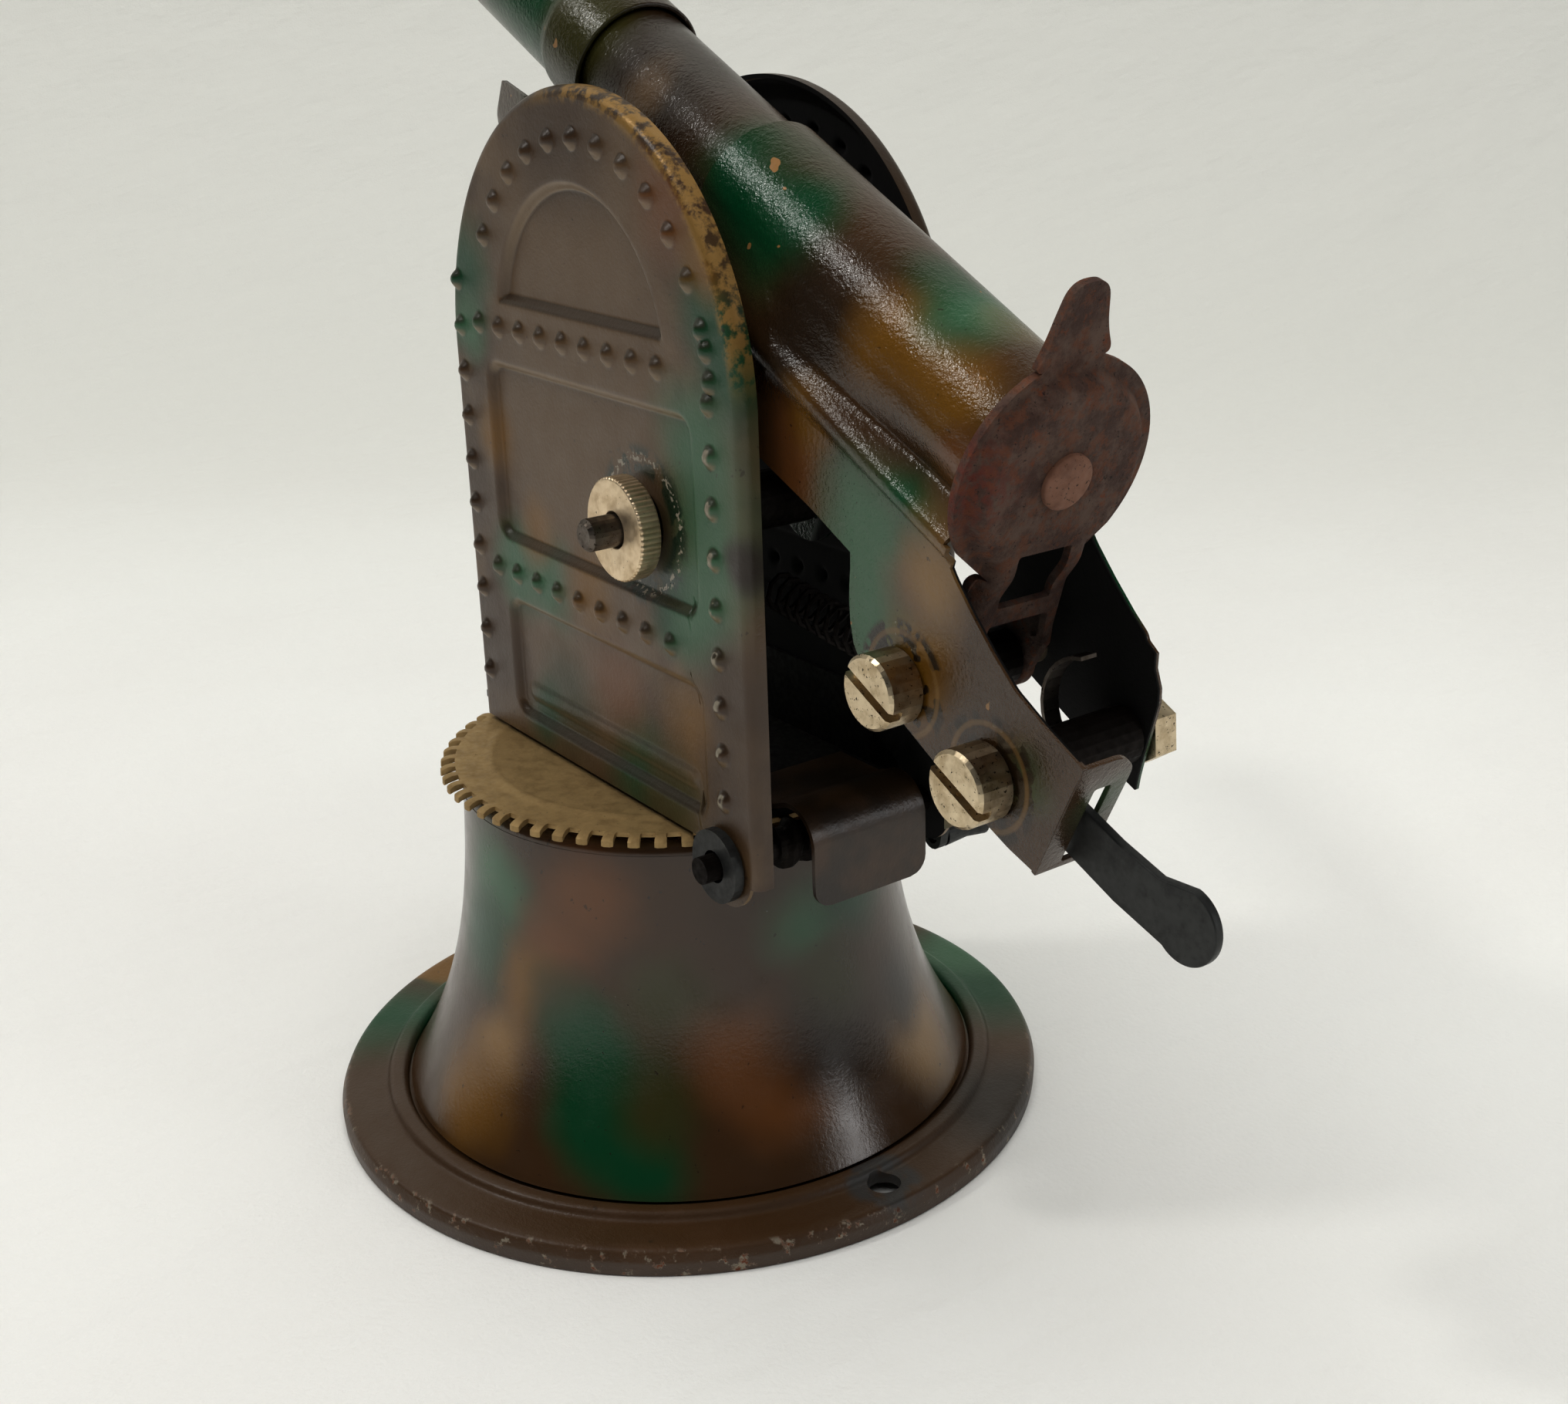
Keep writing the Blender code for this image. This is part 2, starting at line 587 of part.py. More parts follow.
def make_barrel():
    inner = TUBE_R - TUBE_WALL
    tube = turned("barrel_tube", ring(TUBE_R, inner, -45 * MM, 39.4 * MM), ENAMEL_BROWN, "X",
                  (0, 0, BARREL_W))
    lean_end(tube)
    front_inner = FRONT_TUBE_R - TUBE_WALL
    sleeve_inner = TUBE_R + GAP
    step_u = 40 * MM
    front = turned("front_barrel", [
        (sleeve_inner, SLEEVE_U), (SLEEVE_R, SLEEVE_U), (SLEEVE_R, step_u - 0.6 * MM),
        (FRONT_TUBE_R, step_u), (FRONT_TUBE_R, MUZZLE_U - 6 * MM),
        (FRONT_TUBE_R + 0.5 * MM, MUZZLE_U - 5.2 * MM), (FRONT_TUBE_R + 0.5 * MM, MUZZLE_U - 0.5 * MM),
        (FRONT_TUBE_R, MUZZLE_U), (front_inner, MUZZLE_U), (front_inner, step_u),
        (sleeve_inner, step_u - 0.2 * MM),
    ], ENAMEL_BROWN, "X", (0, 0, BARREL_W))
    return [tube, front, make_trough()]


def make_trough():
    """The cradle trough under the barrel, drawn in to a faceted bow at its front end."""
    bottom_w = 12.1 * MM
    # Stations along the trough: U, half width, height of the upper edge.
    stations = [(-3, 7.1, 22), (8, 7.1, 22), (13, 5.2, 22), (43.5, 5.2, 21.2), (49.4, 4.4, 19.8),
                (53, 2.3, 14.7)]
    rows = []
    for u, half, top in stations:
        half, top = half * MM, top * MM
        drop = min(half, top - bottom_w)
        section = [(-half, top)]
        section += [(half * a, bottom_w + drop + drop * b)
                    for a, b in circle((0, 0), 1, 9, -math.pi, 0)]
        section += [(half, top)]
        rows.append([(u * MM, v, w) for v, w in section])
    trough = new_object("cradle_trough", grid_shell("cradle_trough", rows), ENAMEL_OLIVE)
    thicken(trough, SHEET)
    return trough


def cheese_head_screw(name, u, w, tail_v):
    """Slotted screw along V, head outside the near cheek and its end at tail_v."""
    seat = CHEEK_V + GAP
    slot_half, slot_deep = 0.45 * MM, 1.3 * MM
    screw = turned(name, [
        (0, tail_v), (SCREW_R - 0.3 * MM, tail_v), (SCREW_R, tail_v + 0.3 * MM), (SCREW_R, seat),
        (SCREW_HEAD_R, seat), (SCREW_HEAD_R, seat + SCREW_HEAD_H - 0.3 * MM),
        (SCREW_HEAD_R - 0.3 * MM, seat + SCREW_HEAD_H), (0, seat + SCREW_HEAD_H),
    ], NICKEL, "Y", (u, 0, w), 28)
    face = seat + SCREW_HEAD_H
    outline = [(-5 * MM, -slot_half), (5 * MM, -slot_half), (5 * MM, slot_half),
               (-5 * MM, slot_half)]
    tool = plate(name + "_slot", outline, 2 * slot_deep, None, (), "XZ", face)
    tool.location = (u, 0, w)
    cut(screw, tool)
    return screw


def make_gun_fasteners():
    pieces = []
    nut_v = -CHEEK_V - GAP
    for name, (u, w) in (("hammer_screw", HAMMER_AXIS), ("trigger_screw", TRIGGER_AXIS)):
        pieces.append(cheese_head_screw(name, u, w, nut_v - 3.2 * MM))
        nut = hex_nut(name + "_nut", 3.3 * MM, SCREW_R + GAP, 2.5 * MM, "XZ", nut_v - 1.25 * MM)
        nut.location = (u, 0, w)
        pieces.append(nut)
    bore = SCREW_R + GAP
    inside = CHEEK_V - SHEET - GAP
    low, high = LEVER_V - LEVER_THICK / 2 - GAP, LEVER_V + LEVER_THICK / 2 + GAP
    u, w = TRIGGER_AXIS
    pieces.append(turned("trigger_spacer_long", ring(2.6 * MM, bore, -inside, low), SPRING_STEEL,
                         "Y", (u, 0, w), 20))
    pieces.append(turned("trigger_spacer_short", ring(2.6 * MM, bore, high, inside), SPRING_STEEL,
                         "Y", (u, 0, w), 20))
    pieces.append(turned("trunnion_spacer", ring(3.0 * MM, STUD_R + GAP, -inside, inside), NICKEL,
                         "Y", (0, 0, 0), 24))
    return pieces


def make_springs():
    """The hammer's tension spring and the trigger's curved leaf spring."""
    front = Vector((-7.5 * MM, 0, -4.9 * MM))
    back = Vector((-26.5 * MM, 0, 1.9 * MM))
    along = (back - front).normalized()
    side = Vector((0, 1, 0))
    up = along.cross(side)
    turns, radius, per_turn = 13, 1.8 * MM, 9
    points = [Vector((u * MM, v * MM, w * MM)) for u, v, w in HOOK_FRONT]
    for i in range(turns * per_turn + 1):
        angle = 2 * math.pi * i / per_turn
        base = front + (back - front) * (i / (turns * per_turn))
        points.append(base + side * (radius * math.cos(angle)) + up * (radius * math.sin(angle)))
    points += [Vector((u * MM, v * MM, w * MM)) for u, v, w in HOOK_BACK]
    hammer_spring = wire("hammer_spring", points, 0.28 * MM, SPRING_STEEL)

    arc = circle((-45.0 * MM, 11.0 * MM), 5.0 * MM, 12, math.radians(60), math.radians(-75))
    rows = [[(u, v, w) for u, w in arc] for v in (-4.6 * MM, -2.8 * MM)]
    leaf = new_object("trigger_leaf_spring", grid_shell("leaf", rows), SPRING_STEEL)
    thicken(leaf, 0.35 * MM)
    return [hammer_spring, leaf]


def wire(name, points, radius, finish):
    """A round wire along a polyline, as one closed mesh."""
    curve = bpy.data.curves.new(name, "CURVE")
    curve.dimensions = "3D"
    curve.bevel_depth = radius
    curve.bevel_resolution = 1
    curve.use_fill_caps = True
    spline = curve.splines.new("POLY")
    spline.points.add(len(points) - 1)
    for point, co in zip(spline.points, points):
        point.co = (*co, 1)
    curve.materials.append(make_material(name, *finish))
    obj = bpy.data.objects.new(name, curve)
    PARTS.objects.link(obj)
    return obj


# ---- Trunnion --------------------------------------------------------------------------


def make_trunnion():
    """The stud through both shields, its bushes, and the knurled nut that clamps it."""
    at = TRUNNION
    seat = SHIELD_Y + GAP
    far = -seat
    stud = turned("trunnion_stud", [
        (0, far - 2.6 * MM), (3.0 * MM, far - 2.6 * MM), (3.3 * MM, far - 2.3 * MM), (3.3 * MM, far),
        (STUD_R, far), (STUD_R, 18.0 * MM), (STUD_R - 0.4 * MM, 18.4 * MM), (0, 18.4 * MM),
    ], NICKEL, "Y", at, 24)
    outline = [(-5 * MM, -0.45 * MM), (5 * MM, -0.45 * MM), (5 * MM, 0.45 * MM),
               (-5 * MM, 0.45 * MM)]
    tool = plate("stud_slot", outline, 2.2 * MM, None, (), "XZ", far - 2.6 * MM)
    tool.location = at
    cut(stud, tool)
    low, high = CHEEK_V + GAP, SHIELD_Y - SHEET - GAP
    bore = STUD_R + GAP
    turned("trunnion_bush_left", ring(3.4 * MM, bore, low, high), NICKEL, "Y", at, 24)
    turned("trunnion_bush_right", ring(3.4 * MM, bore, -high, -low), NICKEL, "Y", at, 24)
    serration = []
    count, tip, root = 36, 5.1 * MM, 4.75 * MM
    for i in range(2 * count):
        angle = math.pi * i / count
        radius = root if i % 2 else tip
        serration.append((radius * math.cos(angle), radius * math.sin(angle)))
    nut = plate("thumb_nut", serration, 2.3 * MM, NICKEL, [circle((0, 0), bore)], "XZ",
                seat + 1.15 * MM)
    nut.location = at


# ---- Hammer and trigger ----------------------------------------------------------------


def make_hammer():
    """Disc with a thumb tab above and a windowed neck below, hung from two ears."""
    near = circle((0, 0), HAMMER_DISC_R, 17, math.radians(-38), math.radians(61))
    far = circle((0, 0), HAMMER_DISC_R, 17, math.radians(117), math.radians(218))
    top = circle((0.9 * MM, 14.2 * MM), 2.2 * MM, 9, math.radians(10), math.radians(165))
    tab = [(4.2 * MM, 10.2 * MM), (3.6 * MM, 12.4 * MM), *top, (-1.8 * MM, 12.6 * MM),
           (-2.6 * MM, 10.7 * MM)]
    outline = near + tab + far
    outline += [(-6.2 * MM, -8.6 * MM), (-5.2 * MM, -11.5 * MM), (-4.9 * MM, -17.2 * MM),
                (-3.9 * MM, -17.2 * MM), (-3.6 * MM, -13.6 * MM), (3.6 * MM, -13.6 * MM),
                (3.9 * MM, -17.2 * MM), (4.9 * MM, -17.2 * MM), (5.2 * MM, -11.5 * MM),
                (6.2 * MM, -8.6 * MM)]
    window = [(-2.9 * MM, -12.0 * MM), (2.9 * MM, -12.0 * MM), (2.9 * MM, -7.2 * MM),
              (-2.9 * MM, -7.2 * MM)]
    hammer = plate("hammer_plate", outline, HAMMER_THICK, RUSTY_STEEL,
                   [window, circle((0, 0), 1.5 * MM, 16)], "YZ", 0)
    hammer.data.transform(Matrix.Rotation(BREECH_LEAN, 4, "Y"))
    hammer.data.transform(Matrix.Translation((HAMMER_DISC_U, 0, BARREL_W)))
    foot_u, foot_w = HAMMER_DISC_U - 17 * MM * math.sin(BREECH_LEAN), BARREL_W - 16.8 * MM
    axis_u, axis_w = HAMMER_AXIS
    for side in (-1, 1):
        ear = [(foot_u - 0.6 * MM, foot_w - 0.5 * MM), (foot_u + 0.6 * MM, foot_w + 3.0 * MM),
               (foot_u + 1.8 * MM, foot_w + 2.8 * MM)]
        ear += circle((axis_u, axis_w), 2.9 * MM, 14, math.radians(55), math.radians(-195))
        tool = plate("ear", ear, HAMMER_THICK * 0.9, None, (), "XZ", side * HAMMER_EAR_V)
        join(hammer, tool)
    drill(hammer, SCREW_R + GAP, (axis_u, 0, axis_w))
    rivet = turned("hammer_rivet", [
        (0, -2.0 * MM), (1.2 * MM, -2.0 * MM), (1.2 * MM, 0.8 * MM), (2.5 * MM, 0.8 * MM),
        (2.4 * MM, 1.4 * MM), (0, 1.6 * MM),
    ], RUSTY_STEEL, "X", (0, 0, 0), 24)
    rivet.data.transform(Matrix.Rotation(math.pi, 4, "Z"))
    rivet.data.transform(Matrix.Rotation(BREECH_LEAN, 4, "Y"))
    rivet.data.transform(Matrix.Translation((HAMMER_DISC_U, 0, BARREL_W)))
    inside = HAMMER_EAR_V - 0.45 * MM - GAP
    bush = turned("hammer_bush", ring(2.6 * MM, SCREW_R + GAP, -inside, inside), SPRING_STEEL,
                  "Y", (axis_u, 0, axis_w), 20)
    return [hammer, rivet, bush]


def make_trigger():
    """Flat lever through the slot of the end flange, with a round pad."""
    u0, w0 = TRIGGER_AXIS
    pad = circle(LEVER_PAD, LEVER_PAD_R, 17, math.radians(85), math.radians(265))
    hub = circle((u0, w0), 2.6 * MM, 11, math.radians(-95), math.radians(60))
    nose = [(u0 + 3.0 * MM, w0 + 4.6 * MM), (u0 + 0.4 * MM, w0 + 4.6 * MM)]
    outline = pad + [(-60 * MM, 6.9 * MM)] + hub + nose
    outline += [(-50 * MM, 11.0 * MM), (LEVER_PAD[0] + 3.4 * MM, 12.6 * MM)]
    return [plate("trigger_lever", outline, LEVER_THICK, BLUED_STEEL,
                  [circle((u0, w0), SCREW_R + GAP)], "XZ", LEVER_V)]


def place_gun(pieces):
    """Parents the gun's pieces to an empty on the trunnion axis, raised to its elevation."""
    mount = bpy.data.objects.new("gun_elevation", None)
    PARTS.objects.link(mount)
    mount.location = TRUNNION
    mount.rotation_euler = (0, -ELEVATION, 0)
    for piece in pieces:
        piece.parent = mount


make_pedestal()
make_carriage()
make_worm()
gun = make_gun_body() + make_barrel() + make_gun_fasteners() + make_springs()
gun += make_hammer() + make_trigger()
place_gun(gun)
make_trunnion()
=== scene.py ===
"""The look of the tinplate toy cannon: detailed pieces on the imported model's bodies, camouflage
enamel, rust and nickel, a white cloth, soft light and the camera."""

import math

import bmesh
import bpy
from mathutils import Matrix, Vector


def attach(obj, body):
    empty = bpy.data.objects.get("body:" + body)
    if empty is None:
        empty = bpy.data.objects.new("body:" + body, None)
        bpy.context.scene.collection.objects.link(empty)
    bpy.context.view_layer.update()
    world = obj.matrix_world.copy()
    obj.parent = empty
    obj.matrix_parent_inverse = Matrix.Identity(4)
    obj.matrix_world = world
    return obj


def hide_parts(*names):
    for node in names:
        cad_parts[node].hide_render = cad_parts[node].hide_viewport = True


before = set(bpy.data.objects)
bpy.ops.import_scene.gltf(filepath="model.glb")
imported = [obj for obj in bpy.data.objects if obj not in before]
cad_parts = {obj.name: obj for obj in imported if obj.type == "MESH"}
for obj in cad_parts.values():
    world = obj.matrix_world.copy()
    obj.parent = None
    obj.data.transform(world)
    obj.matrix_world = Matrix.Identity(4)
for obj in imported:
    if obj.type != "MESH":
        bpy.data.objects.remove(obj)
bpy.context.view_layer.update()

MM = 0.001
TRUNNION_X, TRUNNION_Z = -15.4, 70.8
TRUNNION = Vector((TRUNNION_X, 0, TRUNNION_Z)) * MM
ELEVATION = math.radians(26.2)
BARREL_W = 29.6  # height of the barrel's axis over the trunnion, along the gun's own W
GUN = Matrix.Translation(TRUNNION) @ Matrix.Rotation(-ELEVATION, 4, "Y")
BREECH_LEAN = math.radians(8)
CHEEK_V, FOLD_W, SHELL_R = 7.75, 22.0, 7.0  # the gun body: its cheek, the fold above, its round top


# ---- Meshes ----------------------------------------------------------------------------


def add_piece(name, mesh, body, material, replaced=(), smooth_angle=40):
    """Links a mesh given in the row frame to its body, with its material, and hides the CAD parts it
    replaces.
    """
    obj = bpy.data.objects.new(name, mesh)
    bpy.context.scene.collection.objects.link(obj)
    mesh.shade_smooth()
    mesh.set_sharp_from_angle(angle=math.radians(smooth_angle))
    mesh.materials.clear()
    mesh.materials.append(material)
    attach(obj, body)
    if replaced:
        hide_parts(*replaced)
    return obj


def to_mesh(name, bm, scale=MM, matrix=None):
    bmesh.ops.recalc_face_normals(bm, faces=bm.faces)
    mesh = bpy.data.meshes.new(name)
    bm.to_mesh(mesh)
    bm.free()
    if scale != 1:
        mesh.transform(Matrix.Scale(scale, 4))
    if matrix is not None:
        mesh.transform(matrix)
    return mesh


def rounded(profile, radius, steps=4):
    """Rounds the corners of a closed profile. Points are (a, b) or (a, b, own radius)."""
    points = []
    count = len(profile)
    for i, here in enumerate(profile):
        p = Vector(here[:2])
        r = here[2] if len(here) > 2 else radius
        before = Vector(profile[i - 1][:2]) - p
        after = Vector(profile[(i + 1) % count][:2]) - p
        reach = min(r, before.length * 0.45, after.length * 0.45)
        if reach < 1e-6:
            points.append(tuple(p))
            continue
        a, b = p + before.normalized() * reach, p + after.normalized() * reach
        for k in range(steps + 1):
            t = k / steps
            q = a * (1 - t) ** 2 + p * 2 * t * (1 - t) + b * t ** 2
            points.append((q.x, q.y))
    return points


AXES = {"Z": Matrix(), "Y": Matrix.Rotation(math.radians(-90), 4, "X"),
        "X": Matrix.Rotation(math.radians(90), 4, "Y")}


def lathe(name, profile, axis="Z", steps=128, radius_of=None):
    """Turned mesh from a closed profile of (radius, height), in millimetres."""
    bm = bmesh.new()
    loops = []
    for k in range(steps):
        angle = 2 * math.pi * k / steps
        loop = []
        for r, h in profile:
            rr = radius_of(r, h, angle) if radius_of else r
            loop.append(bm.verts.new((rr * math.cos(angle), rr * math.sin(angle), h)))
        loops.append(loop)
    count = len(profile)
    for k in range(steps):
        a, b = loops[k], loops[(k + 1) % steps]
        for i in range(count):
            n = (i + 1) % count
            if profile[i][0] < 1e-9 and profile[n][0] < 1e-9:
                continue
            bm.faces.new((a[i], b[i], b[n], a[n]))
    bmesh.ops.remove_doubles(bm, verts=bm.verts, dist=1e-5)
    bmesh.ops.recalc_face_normals(bm, faces=bm.faces)
    mesh = to_mesh(name, bm)
    mesh.transform(AXES[axis])
    return mesh


def moved(mesh, matrix):
    mesh.transform(matrix)
    return mesh


def arc(centre, radius, start, end, count):
    """Points round an arc, its angles in degrees."""
    return [
        (centre[0] + radius * math.cos(math.radians(start + (end - start) * i / (count - 1))),
         centre[1] + radius * math.sin(math.radians(start + (end - start) * i / (count - 1))))
        for i in range(count)
    ]


def prism(name, outline, thick, holes=(), bevel=0.0):
    """A flat piece in the plane of its outline, in millimetres, centred on its thickness."""
    curve = bpy.data.curves.new(name, "CURVE")
    curve.dimensions = "2D"
    curve.fill_mode = "BOTH"
    curve.extrude = (thick / 2 - bevel) * MM
    curve.bevel_depth = bevel * MM
    curve.bevel_resolution = 2
    curve.offset = -bevel * MM
    for loop in [outline, *holes]:
        spline = curve.splines.new("POLY")
        spline.points.add(len(loop) - 1)
        for point, (a, b) in zip(spline.points, loop):
            point.co = (a * MM, b * MM, 0, 1)
        spline.use_cyclic_u = True
    guide = bpy.data.objects.new(name + "_outline", curve)
    bpy.context.scene.collection.objects.link(guide)
    graph = bpy.context.evaluated_depsgraph_get()
    mesh = bpy.data.meshes.new_from_object(guide.evaluated_get(graph))
    bpy.data.objects.remove(guide)
    bm = bmesh.new()
    bm.from_mesh(mesh)
    bmesh.ops.remove_doubles(bm, verts=bm.verts, dist=1e-7)
    bmesh.ops.recalc_face_normals(bm, faces=bm.faces)
    bm.to_mesh(mesh)
    bm.free()
    return mesh


TO_XZ = Matrix.Rotation(math.radians(90), 4, "X")  # a plane's (a, b) to X and Z, facing -Y


def sheet(name, rows, thick, keep=None):
    """A sheet over rows of points in millimetres, with its thickness centred on them."""
    bm = bmesh.new()
    verts = [[bm.verts.new(p) for p in row] for row in rows]
    for i in range(len(rows) - 1):
        for j in range(len(rows[0]) - 1):
            if keep is None or keep(i, j):
                bm.faces.new((verts[i][j], verts[i + 1][j], verts[i + 1][j + 1], verts[i][j + 1]))
    bmesh.ops.delete(bm, geom=[v for v in bm.verts if not v.link_faces], context="VERTS")
    bmesh.ops.remove_doubles(bm, verts=bm.verts, dist=1e-5)
    mesh = bpy.data.meshes.new(name)
    bm.to_mesh(mesh)
    bm.free()
    mesh.transform(Matrix.Scale(MM, 4))
    obj = bpy.data.objects.new(name, mesh)
    bpy.context.scene.collection.objects.link(obj)
    modifier = obj.modifiers.new("thickness", "SOLIDIFY")
    modifier.thickness = thick * MM
    modifier.offset = 0
    return baked(obj)


def baked(obj):
    """The object's mesh with its modifiers applied. The object goes."""
    graph = bpy.context.evaluated_depsgraph_get()
    mesh = bpy.data.meshes.new_from_object(obj.evaluated_get(graph))
    bpy.data.objects.remove(obj)
    return mesh


def combined(mesh, other, operation):
    obj = bpy.data.objects.new("combined", mesh)
    tool = bpy.data.objects.new("tool", other)
    for o in (obj, tool):
        bpy.context.scene.collection.objects.link(o)
    modifier = obj.modifiers.new("boolean", "BOOLEAN")
    modifier.operation = operation
    modifier.object = tool
    modifier.solver = "EXACT"
    result = baked(obj)
    bpy.data.objects.remove(tool)
    return result


def smoothstep(low, high, x):
    t = min(1.0, max(0.0, (x - low) / (high - low)))
    return t * t * (3 - 2 * t)


# ---- Shaders ---------------------------------------------------------------------------


def srgb(r, g, b):
    """Linear colour from 0-255 display values."""
    def linear(v):
        v /= 255
        return v / 12.92 if v <= 0.04045 else ((v + 0.055) / 1.055) ** 2.4
    return (linear(r), linear(g), linear(b), 1)


class Shade:
    """A number or vector in a material's node tree, with arithmetic."""

    def __init__(self, tree, socket):
        self.tree, self.socket = tree, socket

    def feed(self, socket, value):
        if isinstance(value, Shade):
            self.tree.links.new(value.socket, socket)
        else:
            socket.default_value = value

    def math(self, operation, *others):
        made = self.tree.nodes.new("ShaderNodeMath")
        made.operation = operation
        for socket, value in zip(made.inputs, (self, *others)):
            self.feed(socket, value)
        return Shade(self.tree, made.outputs[0])

    def __add__(self, other):
        return self.math("ADD", other)

    def __sub__(self, other):
        return self.math("SUBTRACT", other)

    def __mul__(self, other):
        return self.math("MULTIPLY", other)

    def ramp(self, low, high, smooth=True):
        made = self.tree.nodes.new("ShaderNodeMapRange")
        made.interpolation_type = "SMOOTHSTEP" if smooth else "LINEAR"
        self.feed(made.inputs["Value"], self)
        made.inputs["From Min"].default_value = low
        made.inputs["From Max"].default_value = high
        return Shade(self.tree, made.outputs["Result"])

    def vector(self, operation, other):
        made = self.tree.nodes.new("ShaderNodeVectorMath")
        made.operation = operation
        self.feed(made.inputs[0], self)
        index = 3 if operation == "SCALE" else 1
        self.feed(made.inputs[index], other)
        out = "Value" if operation in ("DISTANCE", "DOT_PRODUCT") else "Vector"
        return Shade(self.tree, made.outputs[out])

    def split(self):
        made = self.tree.nodes.new("ShaderNodeSeparateXYZ")
        self.feed(made.inputs[0], self)
        return [Shade(self.tree, out) for out in made.outputs]

    def noise(self, scale, detail=3.0, rough=0.55, color=False):
        made = self.tree.nodes.new("ShaderNodeTexNoise")
        self.feed(made.inputs["Vector"], self)
        made.inputs["Scale"].default_value = scale
        made.inputs["Detail"].default_value = detail
        made.inputs["Roughness"].default_value = rough
        return Shade(self.tree, made.outputs["Color" if color else "Fac"])


class Paint:
    """A material under construction. Positions are millimetres in the row frame at rest."""

    def __init__(self, name):
        self.material = bpy.data.materials.new(name)
        self.material.use_nodes = True
        self.tree = self.material.node_tree
        self.shader = self.tree.nodes["Principled BSDF"]
        coords = self.tree.nodes.new("ShaderNodeTexCoord")
        self.raw = Shade(self.tree, coords.outputs["Object"])
        self.at = self.raw.vector("SCALE", 1000.0)
        self.normal = Shade(self.tree, coords.outputs["Normal"])
        self.color = None
        self.painted_shade_dull = None

    def mix(self, factor, color, base=None):
        """Paints a colour over what is there, by a factor from 0 to 1."""
        made = self.tree.nodes.new("ShaderNodeMix")
        made.data_type = "RGBA"
        factor_in, a, b = made.inputs[0], made.inputs[6], made.inputs[7]
        self.raw.feed(factor_in, factor)
        self.raw.feed(a, base or self.color)
        self.raw.feed(b, color)
        self.color = Shade(self.tree, made.outputs[2])
        return self.color

    def spot(self, where, centre, radius, soft):
        """1 inside a ball and 0 outside, with a soft edge."""
        distance = where.vector("DISTANCE", centre)
        return distance.ramp(radius * (1 + soft), radius * (1 - soft))

    def finish(self, roughness, metallic=0.0, bumps=(), ior=None):
        feed = self.raw.feed
        feed(self.shader.inputs["Base Color"], self.color)
        if self.painted_shade_dull is not None:
            roughness = roughness.math("MAXIMUM", self.painted_shade_dull * 0.95)
        feed(self.shader.inputs["Roughness"], roughness)
        feed(self.shader.inputs["Metallic"], metallic)
        if ior:
            self.shader.inputs["IOR"].default_value = ior
        normal = None
        for height, distance, strength in bumps:
            made = self.tree.nodes.new("ShaderNodeBump")
            made.inputs["Distance"].default_value = distance * MM
            made.inputs["Strength"].default_value = strength
            feed(made.inputs["Height"], height)
            if normal is not None:
                self.tree.links.new(normal, made.inputs["Normal"])
            normal = made.outputs["Normal"]
        if normal is not None:
            self.tree.links.new(normal, self.shader.inputs["Normal"])
        return self.material


PAINTS = {
    "brown": srgb(62, 42, 22), "dark": srgb(38, 26, 14), "taupe": srgb(94, 73, 50),
    "green": srgb(8, 62, 34), "mint": srgb(54, 92, 64), "ochre": srgb(108, 75, 22),
    "orange": srgb(100, 63, 31), "olive": srgb(54, 52, 22), "sand": srgb(128, 98, 56),
    # black serves only as painted shade, on the inner faces of the shields, the gun body and its bore.
    "black": srgb(5, 4, 4), "umber": srgb(72, 50, 30),
}
BARE = srgb(150, 142, 126)
RUST = srgb(112, 58, 30)


def camouflage(name, blobs, base="brown", rough=0.3, peel=0.5, extra=None, free=None):
    """Air-brushed enamel: soft patches over a base colour, orange peel and fine specks.

    Where free is near 1, further patches of green and ochre fall as a noise puts them."""
    paint = Paint(name)
    at = paint.at
    wander = at.noise(0.09, 2.0, color=True).vector("SUBTRACT", (0.5, 0.5, 0.5))
    where = at.vector("ADD", wander.vector("SCALE", 5.0))
    mottle = at.noise(0.12, 3.0).ramp(0.35, 0.65)
    paint.mix(mottle, PAINTS["brown" if base == "taupe" else "umber"], base=PAINTS[base])
    if free:
        open_side = free(at)
        for offset, scale, low, kind in (((13.0, 40.0, 7.0), 0.055, 0.52, "green"),
                                         ((70.0, 3.0, 31.0), 0.06, 0.55, "ochre")):
            patch = at.vector("ADD", offset).noise(scale, 1.0).ramp(low, low + 0.08)
            paint.mix(patch * open_side, PAINTS[kind])
    for kind, centre, radius, soft in blobs:
        paint.mix(paint.spot(where, centre, radius, soft), PAINTS[kind])
    specks = at.noise(1.1, 2.0).ramp(0.70, 0.76)
    paint.mix(specks * 0.6, PAINTS["dark"])
    roughness = at.noise(0.25, 3.0).ramp(0.2, 0.8, False) * 0.16 + rough
    metallic = 0.0
    if extra:
        roughness, metallic = extra(paint, at, roughness)
    fine = at.noise(1.9, 3.0, 0.65)
    grain = at.noise(4.5, 2.0, 0.6)
    bumps = [(fine, 0.11, peel), (grain, 0.05, peel * 0.8)]
    return paint.finish(roughness, metallic, bumps, 1.62)


def chipped(mask_of, color=BARE):
    """An extra that shows bare, slightly rusty metal where a mask is near 1."""
    def extra(paint, at, roughness):
        mask = mask_of(at)
        paint.mix(mask, color)
        paint.mix(mask * at.noise(1.6, 3.0).ramp(0.45, 0.6), RUST)
        return roughness + mask * 0.15, mask * 0.6
    return extra


def flange_wear(at):
    x, y, z = at.split()
    r = ((x * x) + (y * y)).math("SQRT")
    edge = r.ramp(38.9, 39.9) * at.noise(0.55, 4.0, 0.7).ramp(0.56, 0.66)
    return edge


